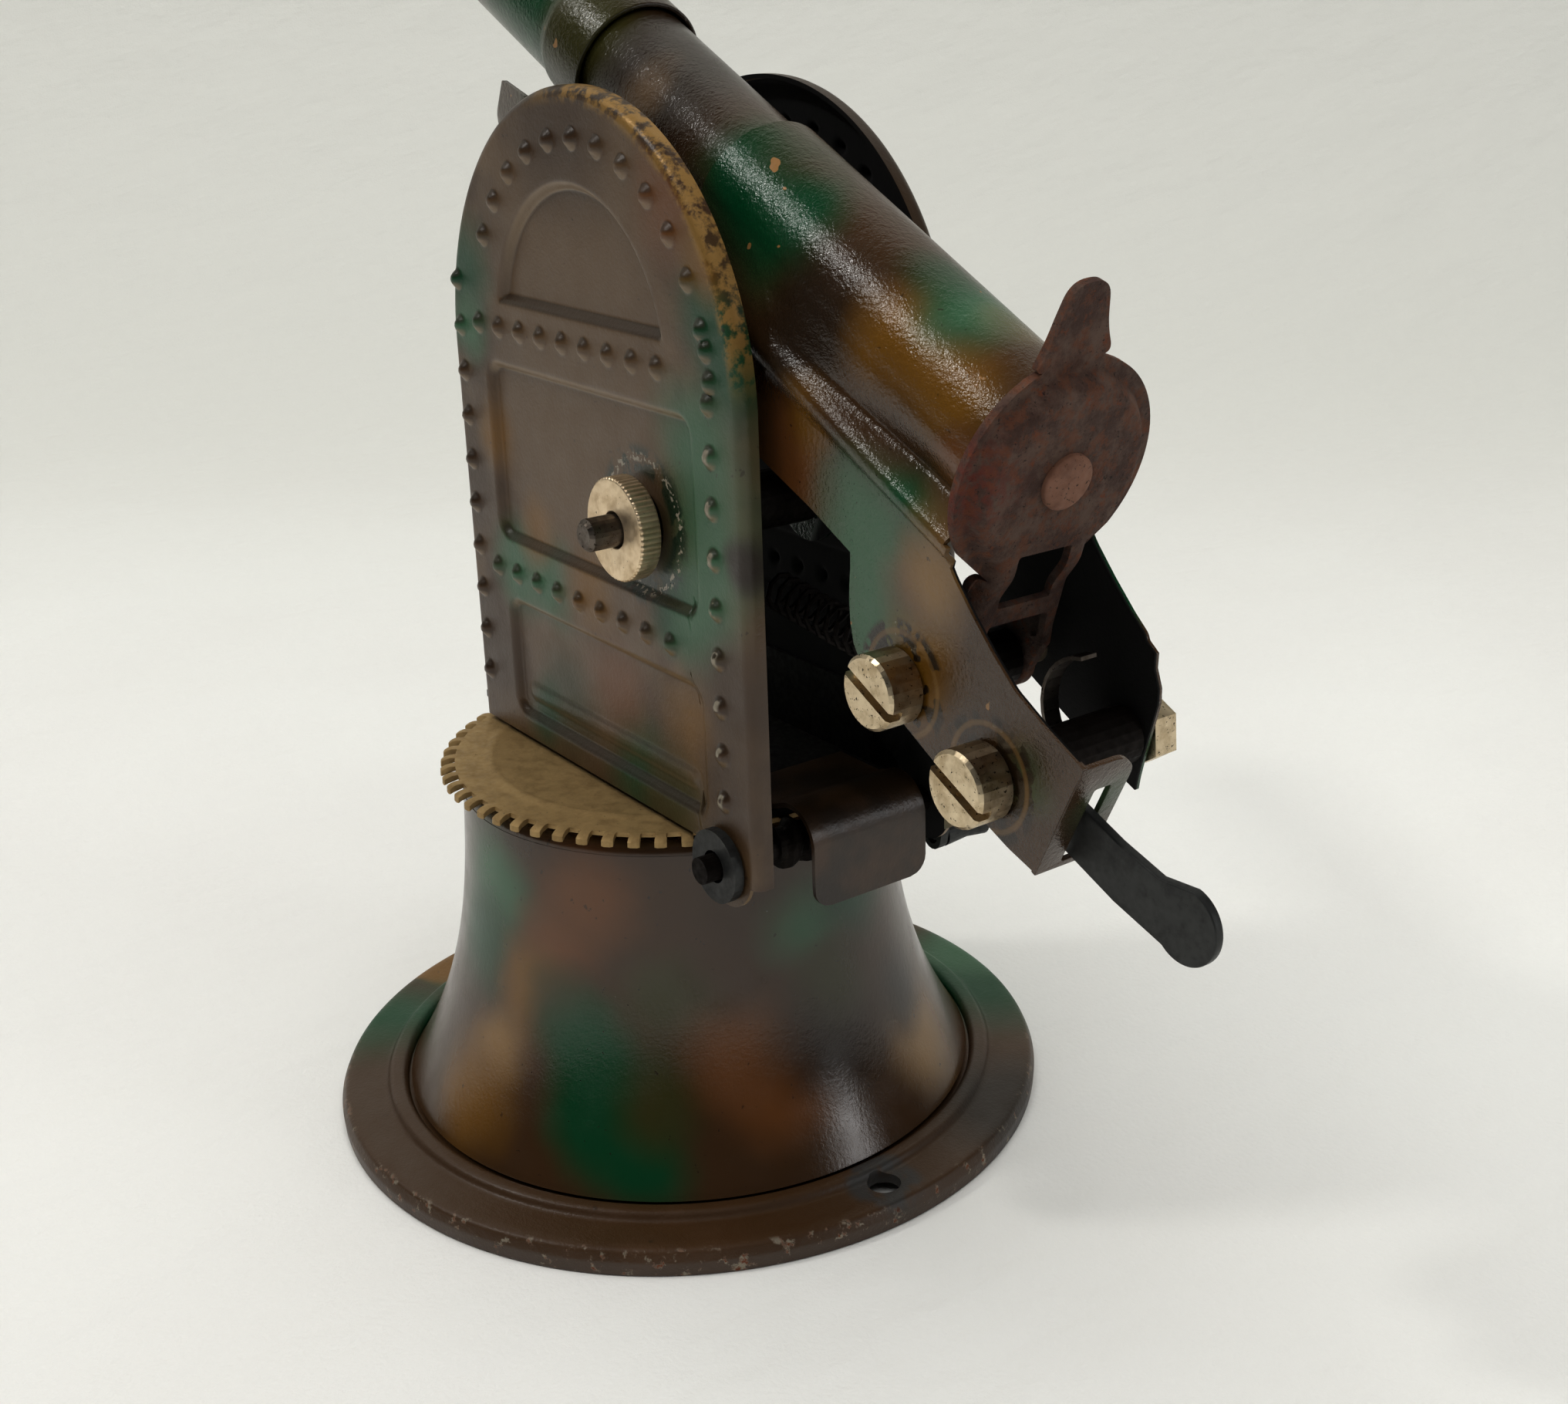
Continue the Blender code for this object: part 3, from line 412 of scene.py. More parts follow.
def flange_marks(paint, at, roughness):
    """Chips along the rim, and a bare grey patch that a screw head has left."""
    result = chipped(flange_wear)(paint, at, roughness)
    hole = at.vector("DISTANCE", (-36.3, 0.0, 2.9))
    patch = hole.ramp(4.6, 3.2) * at.noise(0.35, 2.0).ramp(0.30, 0.5)
    paint.mix(patch * 0.8, srgb(48, 50, 50))
    return result


def shield_wear(at):
    x, y, z = at.split()
    dx, dz = x + 6.3, z - 83.7
    r = ((dx * dx) + (dz * dz)).math("SQRT")
    edge = r.ramp(25.3, 26.6) * z.ramp(84.0, 92.0) * x.ramp(4.0, -10.0)
    edge = edge * at.noise(0.6, 4.0, 0.7).ramp(0.40, 0.56)
    return edge


def metal(name, color, dark, rough, metallic=1.0, speck=0.62, scratch=0.3, bump=0.2):
    """Plated or bare metal with tarnish and dark specks."""
    paint = Paint(name)
    at = paint.at
    tarnish = at.noise(0.5, 4.0, 0.65).ramp(0.4, 0.7)
    paint.mix(tarnish * 0.6, dark, base=color)
    paint.mix(at.noise(2.4, 4.0, 0.7).ramp(speck, speck + 0.06), srgb(38, 32, 24))
    roughness = at.noise(1.5, 4.0).ramp(0.3, 0.7, False) * scratch + rough
    return paint.finish(roughness, metallic, [(at.noise(1.8, 4.0, 0.65), 0.08, bump)])


def rust(name):
    """Pitted brown rust with orange patches."""
    paint = Paint(name)
    at = paint.at
    paint.mix(at.noise(0.35, 5.0, 0.7).ramp(0.35, 0.65), srgb(78, 56, 48), base=srgb(112, 90, 78))
    paint.mix(at.noise(0.9, 5.0, 0.7).ramp(0.55, 0.72), srgb(126, 70, 42))
    orange = paint.spot(at, (-57.5, 2.0, 93.0), 4.0, 0.6)
    paint.mix(orange * at.noise(0.8, 4.0).ramp(0.35, 0.6), srgb(150, 84, 44))
    red = paint.spot(at, (-58.0, 8.5, 83.0), 4.0, 0.6)
    paint.mix(red * at.noise(1.2, 4.0).ramp(0.35, 0.6), srgb(116, 56, 44))
    paint.mix(at.noise(2.2, 4.0, 0.7).ramp(0.60, 0.68), srgb(44, 30, 26))
    scale = at.noise(0.6, 4.0, 0.7).ramp(0.5, 0.62)
    paint.mix(scale * 0.55, srgb(122, 74, 48))
    return paint.finish(0.72, 0.1, [(at.noise(1.4, 6.0, 0.7), 0.55, 0.9),
                                     (at.noise(5.0, 3.0, 0.7), 0.1, 0.6)])


FOOT_BLOBS = [
    ("green", (24, 26, 3), 9, 0.6), ("brown", (-34, 4, 3), 16, 0.5),
    ("brown", (-12, 36, 3), 18, 0.5),
    ("brown", (12, 35, 3), 12, 0.5), ("green", (-9, -38, 3), 12, 0.6),
    ("mint", (-3, -39, 3), 6, 0.6),
    ("dark", (-34, -20, 3), 8, 0.6),
]
BELL_BLOBS = [
    ("brown", (-22, 10, 30), 22, 0.4), ("brown", (-8, 24, 26), 17, 0.4),
    ("brown", (-24, 10, 10), 22, 0.4),
    ("brown", (0, 26, 10), 16, 0.5), ("mint", (-1, 24, 31), 5.5, 0.7),
    ("green", (2, 24, 24), 5, 0.8),
    ("orange", (-13, 20, 33), 4.5, 0.8), ("orange", (-10, 22.4, 27), 4, 0.8),
    ("ochre", (-7, 24, 21), 4, 0.8), ("sand", (-4, 26, 14), 3.5, 0.8),
    ("olive", (-12, 23, 20), 4, 0.7),
    ("green", (-15, 22, 17), 4.5, 0.6), ("green", (-18, 22, 11), 6.5, 0.5),
    ("green", (-22, 20, 6.5), 5.0, 0.6), ("olive", (-20, 15, 22), 4.5, 0.8),
    ("olive", (-21.5, 17, 12), 4, 0.8), ("orange", (-24.7, 9, 16), 4.5, 0.8),
    ("orange", (-27, 6, 11), 5, 0.7), ("dark", (-26.5, -1, 15), 5.5, 0.8),
    ("mint", (-24, 0, 28), 4, 0.9),
    ("green", (-22, -7, 30), 5, 0.7), ("olive", (-24, -2, 21), 4, 0.8),
    ("sand", (-25, -15, 9), 5, 0.8),
    ("ochre", (-2, 28.5, 8.5), 5, 0.8), ("dark", (-24, -13, 16), 4, 0.8),
]
SHIELD_BLOBS = [
    ("taupe", (-6, 12.5, 96), 16, 0.5), ("taupe", (-4, 12.5, 76), 15, 0.5),
    ("taupe", (0, 12.5, 55), 12, 0.5),
    ("green", (16.5, 12.5, 92), 4.5, 0.7), ("mint", (17, 12.5, 86), 3, 0.8),
    ("green", (-29, 12.5, 93), 4.5, 0.7), ("green", (-32, 12.5, 88), 4.5, 0.6),
    ("mint", (-26.5, 12.5, 79), 6, 0.7), ("mint", (-27, 12.5, 71), 6.5, 0.6),
    ("green", (-21.5, 12.5, 64.5), 4.2, 0.6), ("mint", (-26, 12.5, 64), 5, 0.7),
    ("mint", (10, 12.5, 61), 4.5, 0.7), ("mint", (4, 12.5, 60.5), 4, 0.8),
    ("ochre", (-5, 12.5, 62), 3.5, 0.8),
    ("olive", (2, 12.5, 48), 5, 0.7), ("green", (7, 12.5, 45.5), 3, 0.8),
    ("green", (-12, 12.5, 45), 5, 0.7),
    ("olive", (-19, 12.5, 44), 4.5, 0.7), ("orange", (-24, 12.5, 101), 4.5, 0.8),
    ("ochre", (-28.5, 12.5, 97), 3.0, 0.8), ("ochre", (13.5, 12.5, 75), 3.0, 0.8),
    ("ochre", (-23, 12.5, 52), 4.5, 0.8), ("orange", (-9, 12.5, 52), 5, 0.8),
    ("ochre", (6, 12.5, 66), 3, 0.8),
    ("brown", (-30.5, 12.5, 57), 5, 0.7), ("brown", (-29, 12.5, 48), 5, 0.7),
    ("brown", (19, 12.5, 68), 5, 0.7),
    ("brown", (-4, 12.5, 109), 9, 0.6), ("brown", (18, 12.5, 50), 6, 0.7),
    ("dark", (-33.5, 12, 70), 2.5, 0.6),
]
GUN_BLOBS = [
    ("brown", (-40, 3, 98), 18, 0.5), ("dark", (-8, 3, 112), 12, 0.6),
    ("green", (-26, 5, 104), 6.5, 0.5),
    ("green", (-31, 6, 100), 5.5, 0.6), ("brown", (-30, 0, 110), 6, 0.6),
    ("dark", (-37, 7, 92), 5.5, 0.7),
    ("ochre", (-47, 6.4, 92), 4.2, 0.6), ("ochre", (-54.5, 6, 88.5), 4.2, 0.6),
    ("ochre", (-51, 6.6, 90), 3.4, 0.7),
    ("mint", (-51.5, 1, 96), 5, 0.6), ("green", (-47.5, 0, 99), 4, 0.7),
    ("sand", (-56, -2, 97), 4, 0.8),
    ("dark", (-36, 8.5, 88), 5, 0.6), ("orange", (-33.5, 8, 80), 5.5, 0.6),
    ("ochre", (-38, 8, 84), 3.5, 0.7),
    ("brown", (-46, 9, 84), 5, 0.7), ("green", (-52, 8.8, 79), 3, 0.7),
    ("mint", (-45, 8, 75), 6, 0.6),
    ("orange", (-55.4, 8.3, 81.8), 3, 0.7), ("mint", (-47, 8, 68), 6, 0.6),
    ("taupe", (-52, 8, 72), 4, 0.7),
    ("sand", (-54, 8, 74), 3.5, 0.8), ("ochre", (-52.5, 8, 65), 4.5, 0.6),
    ("brown", (-63, 8, 62), 8, 0.5),
    ("mint", (-66, 4, 59), 3.5, 0.7), ("green", (14, 6, 117), 9, 0.5),
    ("olive", (1, 6, 116), 5.5, 0.5),
    ("brown", (30, 4, 125), 9, 0.6), ("taupe", (-9, 5, 110), 2.5, 0.8),
    ("brown", (22, 3, 108), 9, 0.5),
    ("ochre", (27, 3, 109), 3.5, 0.7),
]


def cheek_wear_and_painted_shade(paint, at, roughness):
    """Brown chipped patches where the screws have rubbed, their pale rings, and black painted shade on
    the inner faces and in the bore."""
    x, y, z = at.split()
    for centre in ((-50.0, 8.0, 63.3), (-61.0, 8.0, 58.3)):
        distance = at.vector("DISTANCE", centre)
        patch = distance.ramp(6.0, 5.2) * at.noise(0.45, 2.0).ramp(0.48, 0.54)
        paint.mix(patch, PAINTS["dark"])
        ring = distance.ramp(4.2, 4.5) * distance.ramp(5.0, 4.7)
        paint.mix(ring * 0.5, PAINTS["sand"])
    chips = at.noise(0.35, 2.0).ramp(0.735, 0.745)
    paint.mix(chips, srgb(140, 104, 62))
    # Height above the barrel's axis, square to it, and from that the distance from the axis.
    dx, dz = x - TRUNNION_X, z - TRUNNION_Z
    height = dx * -math.sin(ELEVATION) + dz * math.cos(ELEVATION) - BARREL_W
    radius = ((height * height) + (y * y)).math("SQRT")
    along = dx * math.cos(ELEVATION) + dz * math.sin(ELEVATION)
    # Painted shade: the inner faces of the cheeks and the bore are painted black and made dull.
    cheek = y.math("ABSOLUTE").ramp(CHEEK_V - 0.01, CHEEK_V - 0.05) * height.ramp(-6.5, -7.2)
    cheek = cheek * along.ramp(-53.7, -53.4) * along.ramp(-2.0, -4.0)
    bore = radius.ramp(6.0, 5.9)
    inner = cheek.math("MAXIMUM", bore)
    paint.mix(inner, PAINTS["black"])
    paint.painted_shade_dull = inner
    return roughness, 0.0


def nut_scuffs_and_painted_light(paint, at, roughness):
    """Dark gloss where the clamp nut has burnished the shield, bare rivet tips behind it, painted shade on
    every face that tilts up, a painted pale reflection on every face that tilts down, and black painted
    shade on the inner faces and the back of the rim."""
    x, y, z = at.split()
    # Painted light: faces that tilt up are painted darker, as painted shade for the dark room they would
    # reflect, and faces that tilt down paler, as a painted reflection of the white cloth.
    painted_light_tilt = paint.normal.split()[2]
    paint.mix(painted_light_tilt.ramp(0.10, 0.50) * 0.75, PAINTS["dark"])
    paint.mix(painted_light_tilt.ramp(-0.12, -0.55) * 0.55, srgb(150, 128, 100))
    distance = at.vector("DISTANCE", (-15.4, 12.5, 70.8))
    band = distance.ramp(8.2, 7.0) * distance.ramp(4.6, 5.4) * at.noise(0.5, 3.0).ramp(0.42, 0.5)
    paint.mix(band * 0.8, srgb(12, 40, 26))
    scratch = distance.ramp(7.2, 6.8) * distance.ramp(6.0, 6.3) * at.noise(2.2, 2.0).ramp(0.56, 0.6)
    paint.mix(scratch, BARE)
    column = (x + 28.7).math("ABSOLUTE").ramp(0.5, 0.2) * z.ramp(82.0, 80.0) * z.ramp(43.0, 45.0)
    tips = column * y.ramp(12.75, 12.9) * at.noise(0.7, 2.0).ramp(0.42, 0.5)
    edge = shield_wear(at) * y.ramp(0.0, 1.0)
    paint.mix(edge, srgb(150, 118, 66))
    # Painted shade: the faces turned inwards and the back of the rim are painted black and made dull.
    dx, dz = x + 6.3, (z - 83.7).math("MAXIMUM", 0.0)
    across = ((dx * dx) + (dz * dz)).math("SQRT")
    turned_in = (paint.normal.split()[1] * y.math("SIGN")).ramp(-0.1, -0.4)
    behind = y.math("ABSOLUTE").ramp(11.2, 11.0) * across.ramp(26.75, 26.55)
    paint.painted_shade_dull = turned_in.math("MAXIMUM", behind)
    paint.mix(paint.painted_shade_dull, PAINTS["black"])
    paint.mix(tips, BARE)
    bare = edge.math("MAXIMUM", tips)
    return roughness - band * 0.1, bare * 0.4


def round_the_back(at):
    """1 on the side of the pedestal that faces ahead and to the right."""
    return at.vector("DOT_PRODUCT", (0.8, -0.59, 0.0)).ramp(2.0, 12.0)


def far_shield(at):
    return at.split()[1].ramp(1.0, -1.0)


def far_or_front(at):
    x, y, z = at.split()
    return y.ramp(-1.0, -4.0).math("MAXIMUM", x.ramp(18.0, 30.0))


MATERIALS = {
    "flange": camouflage("flange_enamel", FOOT_BLOBS, "brown", 0.36, 0.5, flange_marks,
                         round_the_back),
    "bell": camouflage("bell_enamel", BELL_BLOBS, "brown", 0.14, 0.2, None, round_the_back),
    "shield": camouflage("shield_enamel", SHIELD_BLOBS, "taupe", 0.32, 0.4, nut_scuffs_and_painted_light,
                         far_shield),
    "gun": camouflage("gun_enamel", GUN_BLOBS, "brown", 0.15, 0.75, cheek_wear_and_painted_shade, far_or_front),
    "cover": camouflage("cover_enamel", [], "dark", 0.26, 0.4),
    # inside: near black and dull, painted shade for the bracket that sits between the shields under the
    # gun.
    "inside": metal("inner_painted_shade_black", srgb(14, 11, 9), srgb(24, 18, 14), 0.6, 0.0, 0.7),
    "rivet": metal("rivet_rust", srgb(138, 102, 84), srgb(104, 72, 58), 0.6, 0.2, 0.6),
    "dark_steel": metal("dark_steel", srgb(34, 29, 26), srgb(22, 18, 15), 0.5, 0.8, 0.6),
    "gear": metal("gear_metal", srgb(174, 148, 104), srgb(140, 116, 78), 0.42, 0.6, 0.66),
    "nickel": metal("nickel", srgb(216, 200, 172), srgb(160, 138, 104), 0.26, 1.0, 0.60),
    "pale_nickel": metal("pale_nickel", srgb(232, 212, 182), srgb(196, 172, 136), 0.3, 0.9, 0.66),
    "steel": metal("grey_steel", srgb(120, 112, 104), srgb(70, 56, 46), 0.35, 1.0, 0.6),
    "blued": metal("blued_steel", srgb(66, 67, 66), srgb(42, 42, 42), 0.36, 0.7, 0.7, 0.2, 0.12),
    "rust": rust("rusted_steel"),
}


# ---- Pedestal --------------------------------------------------------------------------


def bell_radius(z):
    share = 1 - (z - 2.9) / (39.0 - 2.9)
    return 23.4 + (32.3 - 23.4) * (0.16 * share + 0.84 * share ** 2.9)


def make_pedestal():
    profile = rounded([
        (38.0, 0), (39.9, 0, 0.3), (40.0, 1.6, 0.2), (39.5, 2.75, 0.6), (38.6, 2.9, 0.5),
        (34.9, 2.75, 0.5), (34.4, 3.65, 0.5), (33.0, 3.65, 0.5), (32.5, 2.9, 0.2), (32.5, 2.5, 0.1),
        (28.5, 2.5),
        (28.5, 1.7), (38.0, 1.7),
    ], 0.1)
    flange = lathe("base_flange_visual", profile, steps=256)
    for side in (-1, 1):
        tool = lathe("hole", [(0, -5), (1.75, -5), (1.75, 8), (0, 8)], steps=40)
        flange = combined(flange, moved(tool, Matrix.Translation((side * 36.3 * MM, 0, 0))),
                          "DIFFERENCE")
    add_piece("enamelled_flange", flange, "pedestal", MATERIALS["flange"],
              ["base_flange"])

    heights = [3.2 + (37.6 - 3.2) * i / 60 for i in range(61)]
    outer = [(bell_radius(z), z) for z in heights]
    outer += arc((22.0, 37.6), 1.4, 0, 90, 8)
    inner = [(2.7, 39.0), (2.7, 38.4)] + [(r - 0.6, z - (0.5 if z > 37 else 0)) for r, z in reversed(outer)]
    add_piece("enamelled_bell", lathe("bell_visual", outer + inner, steps=256), "pedestal",
              MATERIALS["bell"], ["pedestal_bell"])
    make_gear()


def make_gear():
    """Flat disc with a pressed ring and teeth whose tips are turned down."""
    teeth, per_tooth = 60, 18
    radii = [2.7, 8, 14, 19.4, 19.9, 20.4, 20.9, 21.6, 23.2, 24.1, 24.7, 25.1, 25.35, 25.45, 25.45]
    rows = []
    for i, radius in enumerate(radii):
        row = []
        for k in range(teeth * per_tooth + 1):
            phase = (k / per_tooth) % 1.0
            tooth = smoothstep(0.28, 0.34, phase) * (1 - smoothstep(0.66, 0.72, phase))
            r, z = radius, 40.3
            z += 0.22 * math.exp(-((radius - 20.2) / 0.35) ** 2)
            if radius > 24.1:
                r = 24.1 + (radius - 24.1) * tooth
                drop = max(0.0, (radius - 24.9) / 0.55)
                z -= 0.25 * drop * tooth
                if i == len(radii) - 1:
                    z -= 0.45 * tooth
            angle = 2 * math.pi * (k / per_tooth - 0.5) / teeth
            row.append((r * math.cos(angle), r * math.sin(angle), z))
        rows.append(row)
    mesh = sheet("gear_visual", rows, 0.5)
    add_piece("toothed_disc", mesh, "pedestal", MATERIALS["gear"],
              ["traverse_gear"], 35)


# ---- Shields ---------------------------------------------------------------------------

ARCH_X, ARCH_Z, ARCH_R = -6.3, 83.7, 27.0
FRONT_X, REAR_X, FOOT_Z = 20.7, -33.3, 41.2
WORM_X, WORM_Z, EAR_R = -28.2, 39.95, 4.4


def rivet_centres():
    found = [(-7 + 22.2 * math.cos(math.radians(32 + 11.8 * i)),
              84 + 22.2 * math.sin(math.radians(32 + 11.8 * i))) for i in range(13)]
    found += [(18.6, 47 + 4.85 * i) for i in range(10)]
    found += [(-28.7, 46.5 + 4.75 * i) for i in range(10)]
    found += [(14.4 - 4.35 * i, 86.6) for i in range(9)]
    found += [(14.4 - 4.35 * i, 60.1) for i in range(9)]
    return found


RIVETS = rivet_centres()


def box_depth(x, z, x0, x1, z0, z1, corner):
    """Signed distance into a rectangle with round corners, positive inside."""
    cx, cz = (x0 + x1) / 2, (z0 + z1) / 2
    hx, hz = (x1 - x0) / 2 - corner, (z1 - z0) / 2 - corner
    qx, qz = abs(x - cx) - hx, abs(z - cz) - hz
    outside = math.hypot(max(qx, 0), max(qz, 0))
    return corner - outside - min(max(qx, qz), 0)


def shield_relief(x, z):
    """How far the pressed surface stands out from the flat plate, in millimetres."""
    height = 0.0
    for rx, rz in RIVETS:
        dx, dz = x - rx, z - rz
        if abs(dx) < 1.3 and abs(dz) < 1.3:
            height += 0.72 * (1 - smoothstep(0.2, 1.2, math.hypot(dx, dz)))
    arched = min(15.6 - math.hypot(x + 5.8, z - 86.2), z - 89.6)
    middle = box_depth(x, z, -25.2, 13.2, 64.0, 82.6, 1.8)
    lower = box_depth(x, z, -25.2, 12.4, 43.9, 56.8, 1.8)
    for depth, amount in ((arched, 0.9), (middle, 0.8), (lower, 0.7)):
        height -= amount * smoothstep(-0.5, 0.45, depth)
    ridge = box_depth(x, z, -22.8, 10.0, 46.2, 47.2, 0.4)
    height += 0.25 * smoothstep(-0.8, 0.2, ridge)
    return height


def shield_foot(x):
    """Height of the lower edge, which drops round the worm shaft's ear."""
    dx = x - WORM_X
    if abs(dx) < EAR_R:
        return min(FOOT_Z, WORM_Z - math.sqrt(EAR_R ** 2 - dx ** 2))
    if x < WORM_X:
        return WORM_Z - 1.0
    return FOOT_Z


def make_shield(name, side, node):
    columns, low_rows, high_rows = 180, 150, 140
    bend, plate_y = 0.9, 12.25
    inset_x0, inset_x1 = REAR_X + bend, FRONT_X - bend
    rows = []
    for i in range(low_rows + high_rows + 1):
        row = []
        if i <= low_rows:
            half_left, half_right = inset_x0, inset_x1
        else:
            angle = math.pi / 2 * (i - low_rows) / high_rows
            reach = max(1e-4, (ARCH_R - bend) * math.cos(angle))
            half_left, half_right = ARCH_X - reach, ARCH_X + reach
        for j in range(columns + 1):
            x = half_left + (half_right - half_left) * j / columns
            if i <= low_rows:
                foot = shield_foot(x)
                z = foot + (ARCH_Z - foot) * i / low_rows
            else:
                z = ARCH_Z + (ARCH_R - bend) * math.sin(angle)
            row.append((x, side * (plate_y + shield_relief(x, z)), z))
        # The rim: a quarter turn, then straight back.
        for end, direction in ((0, -1), (-1, 1)):
            x, _, z = row[end]
            if i <= low_rows:
                out = Vector((direction, 0))
            else:
                out = Vector((direction * math.cos(angle), math.sin(angle)))
            edge = []
            for k in range(1, 7):
                turn = math.pi / 2 * k / 6
                reach = bend * math.sin(turn)
                edge.append((x + out.x * reach, side * (plate_y - bend * (1 - math.cos(turn))),
                             z + out.y * reach))
            edge.append((edge[-1][0], side * 10.5, edge[-1][2]))
            if end == 0:
                row = list(reversed(edge)) + row
            else:
                row = row + edge
        rows.append(row)
    mesh = sheet(name, rows, 0.45)
    return add_piece(name, mesh, "carriage", MATERIALS["shield"], [node], 50)


# ---- Worm cover ------------------------------------------------------------------------


def make_worm_cover():
    top = 42.35
    bend = arc((WORM_X, WORM_Z), 3.6, 65, 172, 20)
    path = [(-18, top), (-22, top), (WORM_X + 3.6, top)] + bend
    path += [(bend[-1][0], z) for z in (39.5, 38.5, 37.5, 36.5, 35.8, 35.2, 34.7, 34.3, 34.0, 33.8)]
    rows = []
    for i, (x, z) in enumerate(path):
        trim = 0.0
        if z < 35.8:
            trim = 2.0 - math.sqrt(max(0.0, 4.0 - (35.8 - z) ** 2))
        near, far = 4.6 - trim, -9.3 + trim
        rows.append([(x, far + (near - far) * j / 24, z) for j in range(25)])
    add_piece("enamelled_cover", sheet("cover_visual", rows, 0.5), "carriage",
              MATERIALS["cover"], ["worm_cover"])


# ---- Gun -------------------------------------------------------------------------------

BREECH_U = -33.75


def interpolate(knots, u):
    if u <= knots[0][0]:
        return knots[0][1]
    for (u0, w0), (u1, w1) in zip(knots, knots[1:]):
        if u <= u1:
            t = (u - u0) / (u1 - u0)
            return w0 + (w1 - w0) * t
    return knots[-1][1]


LOWER_EDGE = [(-54.3, 5.6), (-51, 5.15), (-47.0, 5.0), (-40, 5.2), (-33, 5.5), (-29.5, 6.1), (-27.6, 7.2),
              (-26.3, 8.8), (-25.2, 10.8), (-24.4, 12.8), (-23.9, 14.5), (-17.3, 14.5), (-9, 14.0),
              (-7.2, 11.0), (-6.2, 6.0), (-5.2, 0.0), (5.2, 0.0), (6.2, 6.0), (7.2, 12.0),
              (9.0, 14.0)]
UPPER_EDGE = [(-54.3, 17.4), (-50, 17.4), (-45.5, 17.7), (-42, 18.7), (-38.7, 19.9), (-35.6, 21.2),
              (-34.2, 22.0), (-33.3, 23.0)]


FAR_END = [(3.0, -49.4), (4.6, -50.0), (6.8, -49.4), (14.0, -48.1), (15.4, -47.3), (16.6, -45.8)]


def cheek_low(u):
    if abs(u) < 5.2:
        return -math.sqrt(5.2 ** 2 - u ** 2)
    return interpolate(LOWER_EDGE, u)


def body_section(u):
    """Half of the pressed body's section, from the lower edge of the cheek to the top."""
    behind = u < BREECH_U
    low = cheek_low(u)
    high = interpolate(UPPER_EDGE, u) if behind else FOLD_W
    points = [(CHEEK_V, low + (high - low) * i / 10) for i in range(11)]
    swell = smoothstep(10.0, -4.0, u)
    # Towards the breech a bulge swells just over the fold, with a hollow between it and the top.
    pinch = min(1.0, max(0.0, (-2.0 - u) / 26.0))
    for i in range(1, 31):
        s = i / 30
        w = FOLD_W + 6.6 * s
        swelling = (0.35 + 1.13 * swell) * math.sin(math.pi * s ** 0.74) ** 1.25
        v = CHEEK_V - 0.45 * s + swelling
        round_tube = math.sqrt(SHELL_R ** 2 - (BARREL_W - w) ** 2) if w > 25.6 else 5.74
        bulge = CHEEK_V + 1.25 * smoothstep(FOLD_W, 23.5, w)
        valley = bulge + (round_tube - bulge) * smoothstep(23.9, 26.5, w)
        points.append((v + (valley - v) * pinch, w))
    for i in range(27):
        angle = math.pi / 2 * i / 26
        blend = smoothstep(0.0, 0.12, angle)
        radius = SHELL_R * (1 - blend) + 6.8 * blend
        points.append((radius * math.cos(angle), BARREL_W + radius * math.sin(angle)))
    return points


def make_gun_body():
    stations = sorted(set(
        [-54.3 + 0.5 * i for i in range(41)] + [-33.9] + [-33.6 + 0.55 * i for i in range(78)]
        + [-5.2, -5.1, -4.9, -4.6, 4.6, 4.9, 5.1, 5.2, 9.0]))
    stations = [u for u in stations if u <= 9.0]
    rows = []
    for u in stations:
        half = body_section(u)
        full = half + [(-v, w) for v, w in reversed(half[:-1])]
        row = [(u, v, w) for v, w in full]
        if u < -44:
            for j in range(len(row) - 11, len(row)):
                _, v, w = row[j]
                end = interpolate(FAR_END, w)
                row[j] = (-44 + (u + 44) * (end + 44) / -5.8, v, w)
        rows.append(row)
    columns = len(rows[0]) - 1

    def keep(i, j):
        u = (stations[i] + stations[i + 1]) / 2
        row, nxt = rows[i][j], rows[i + 1][j]
        w = (row[2] + nxt[2]) / 2
        if u > BREECH_U + (w - BARREL_W) * math.tan(BREECH_LEAN) and u > -36.2:
            return True
        near, far = j < 10, j >= columns - 10
        return near or (far and u > -49.8)

    mesh = sheet("body_visual", rows, 0.5, keep)
    add_piece("pressed_gun_body", moved(mesh, GUN), "gun", MATERIALS["gun"],
              ["gun_body"], 50)

    slot = [(3.5, 5.9), (5.3, 5.9), (5.3, 14.2), (3.5, 14.2)]
    outline = rounded([(1.7, 5.2, 0.6), (7.9, 5.2, 0.2), (7.9, 17.3, 0.2), (3.4, 17.3, 1.8),
                       (1.7, 15.6, 0.8)], 0.3, 6)
    flange = prism("end_flange", outline, 0.5, [rounded(slot, 0.3)], 0.08)
    to_section = Matrix(((0, 0, 1, 0), (1, 0, 0, 0), (0, 1, 0, 0), (0, 0, 0, 1)))
    flange.transform(Matrix.Translation((-54.1 * MM, 0, 0)) @ to_section)
    add_piece("end_flange", moved(flange, GUN), "gun", MATERIALS["gun"])


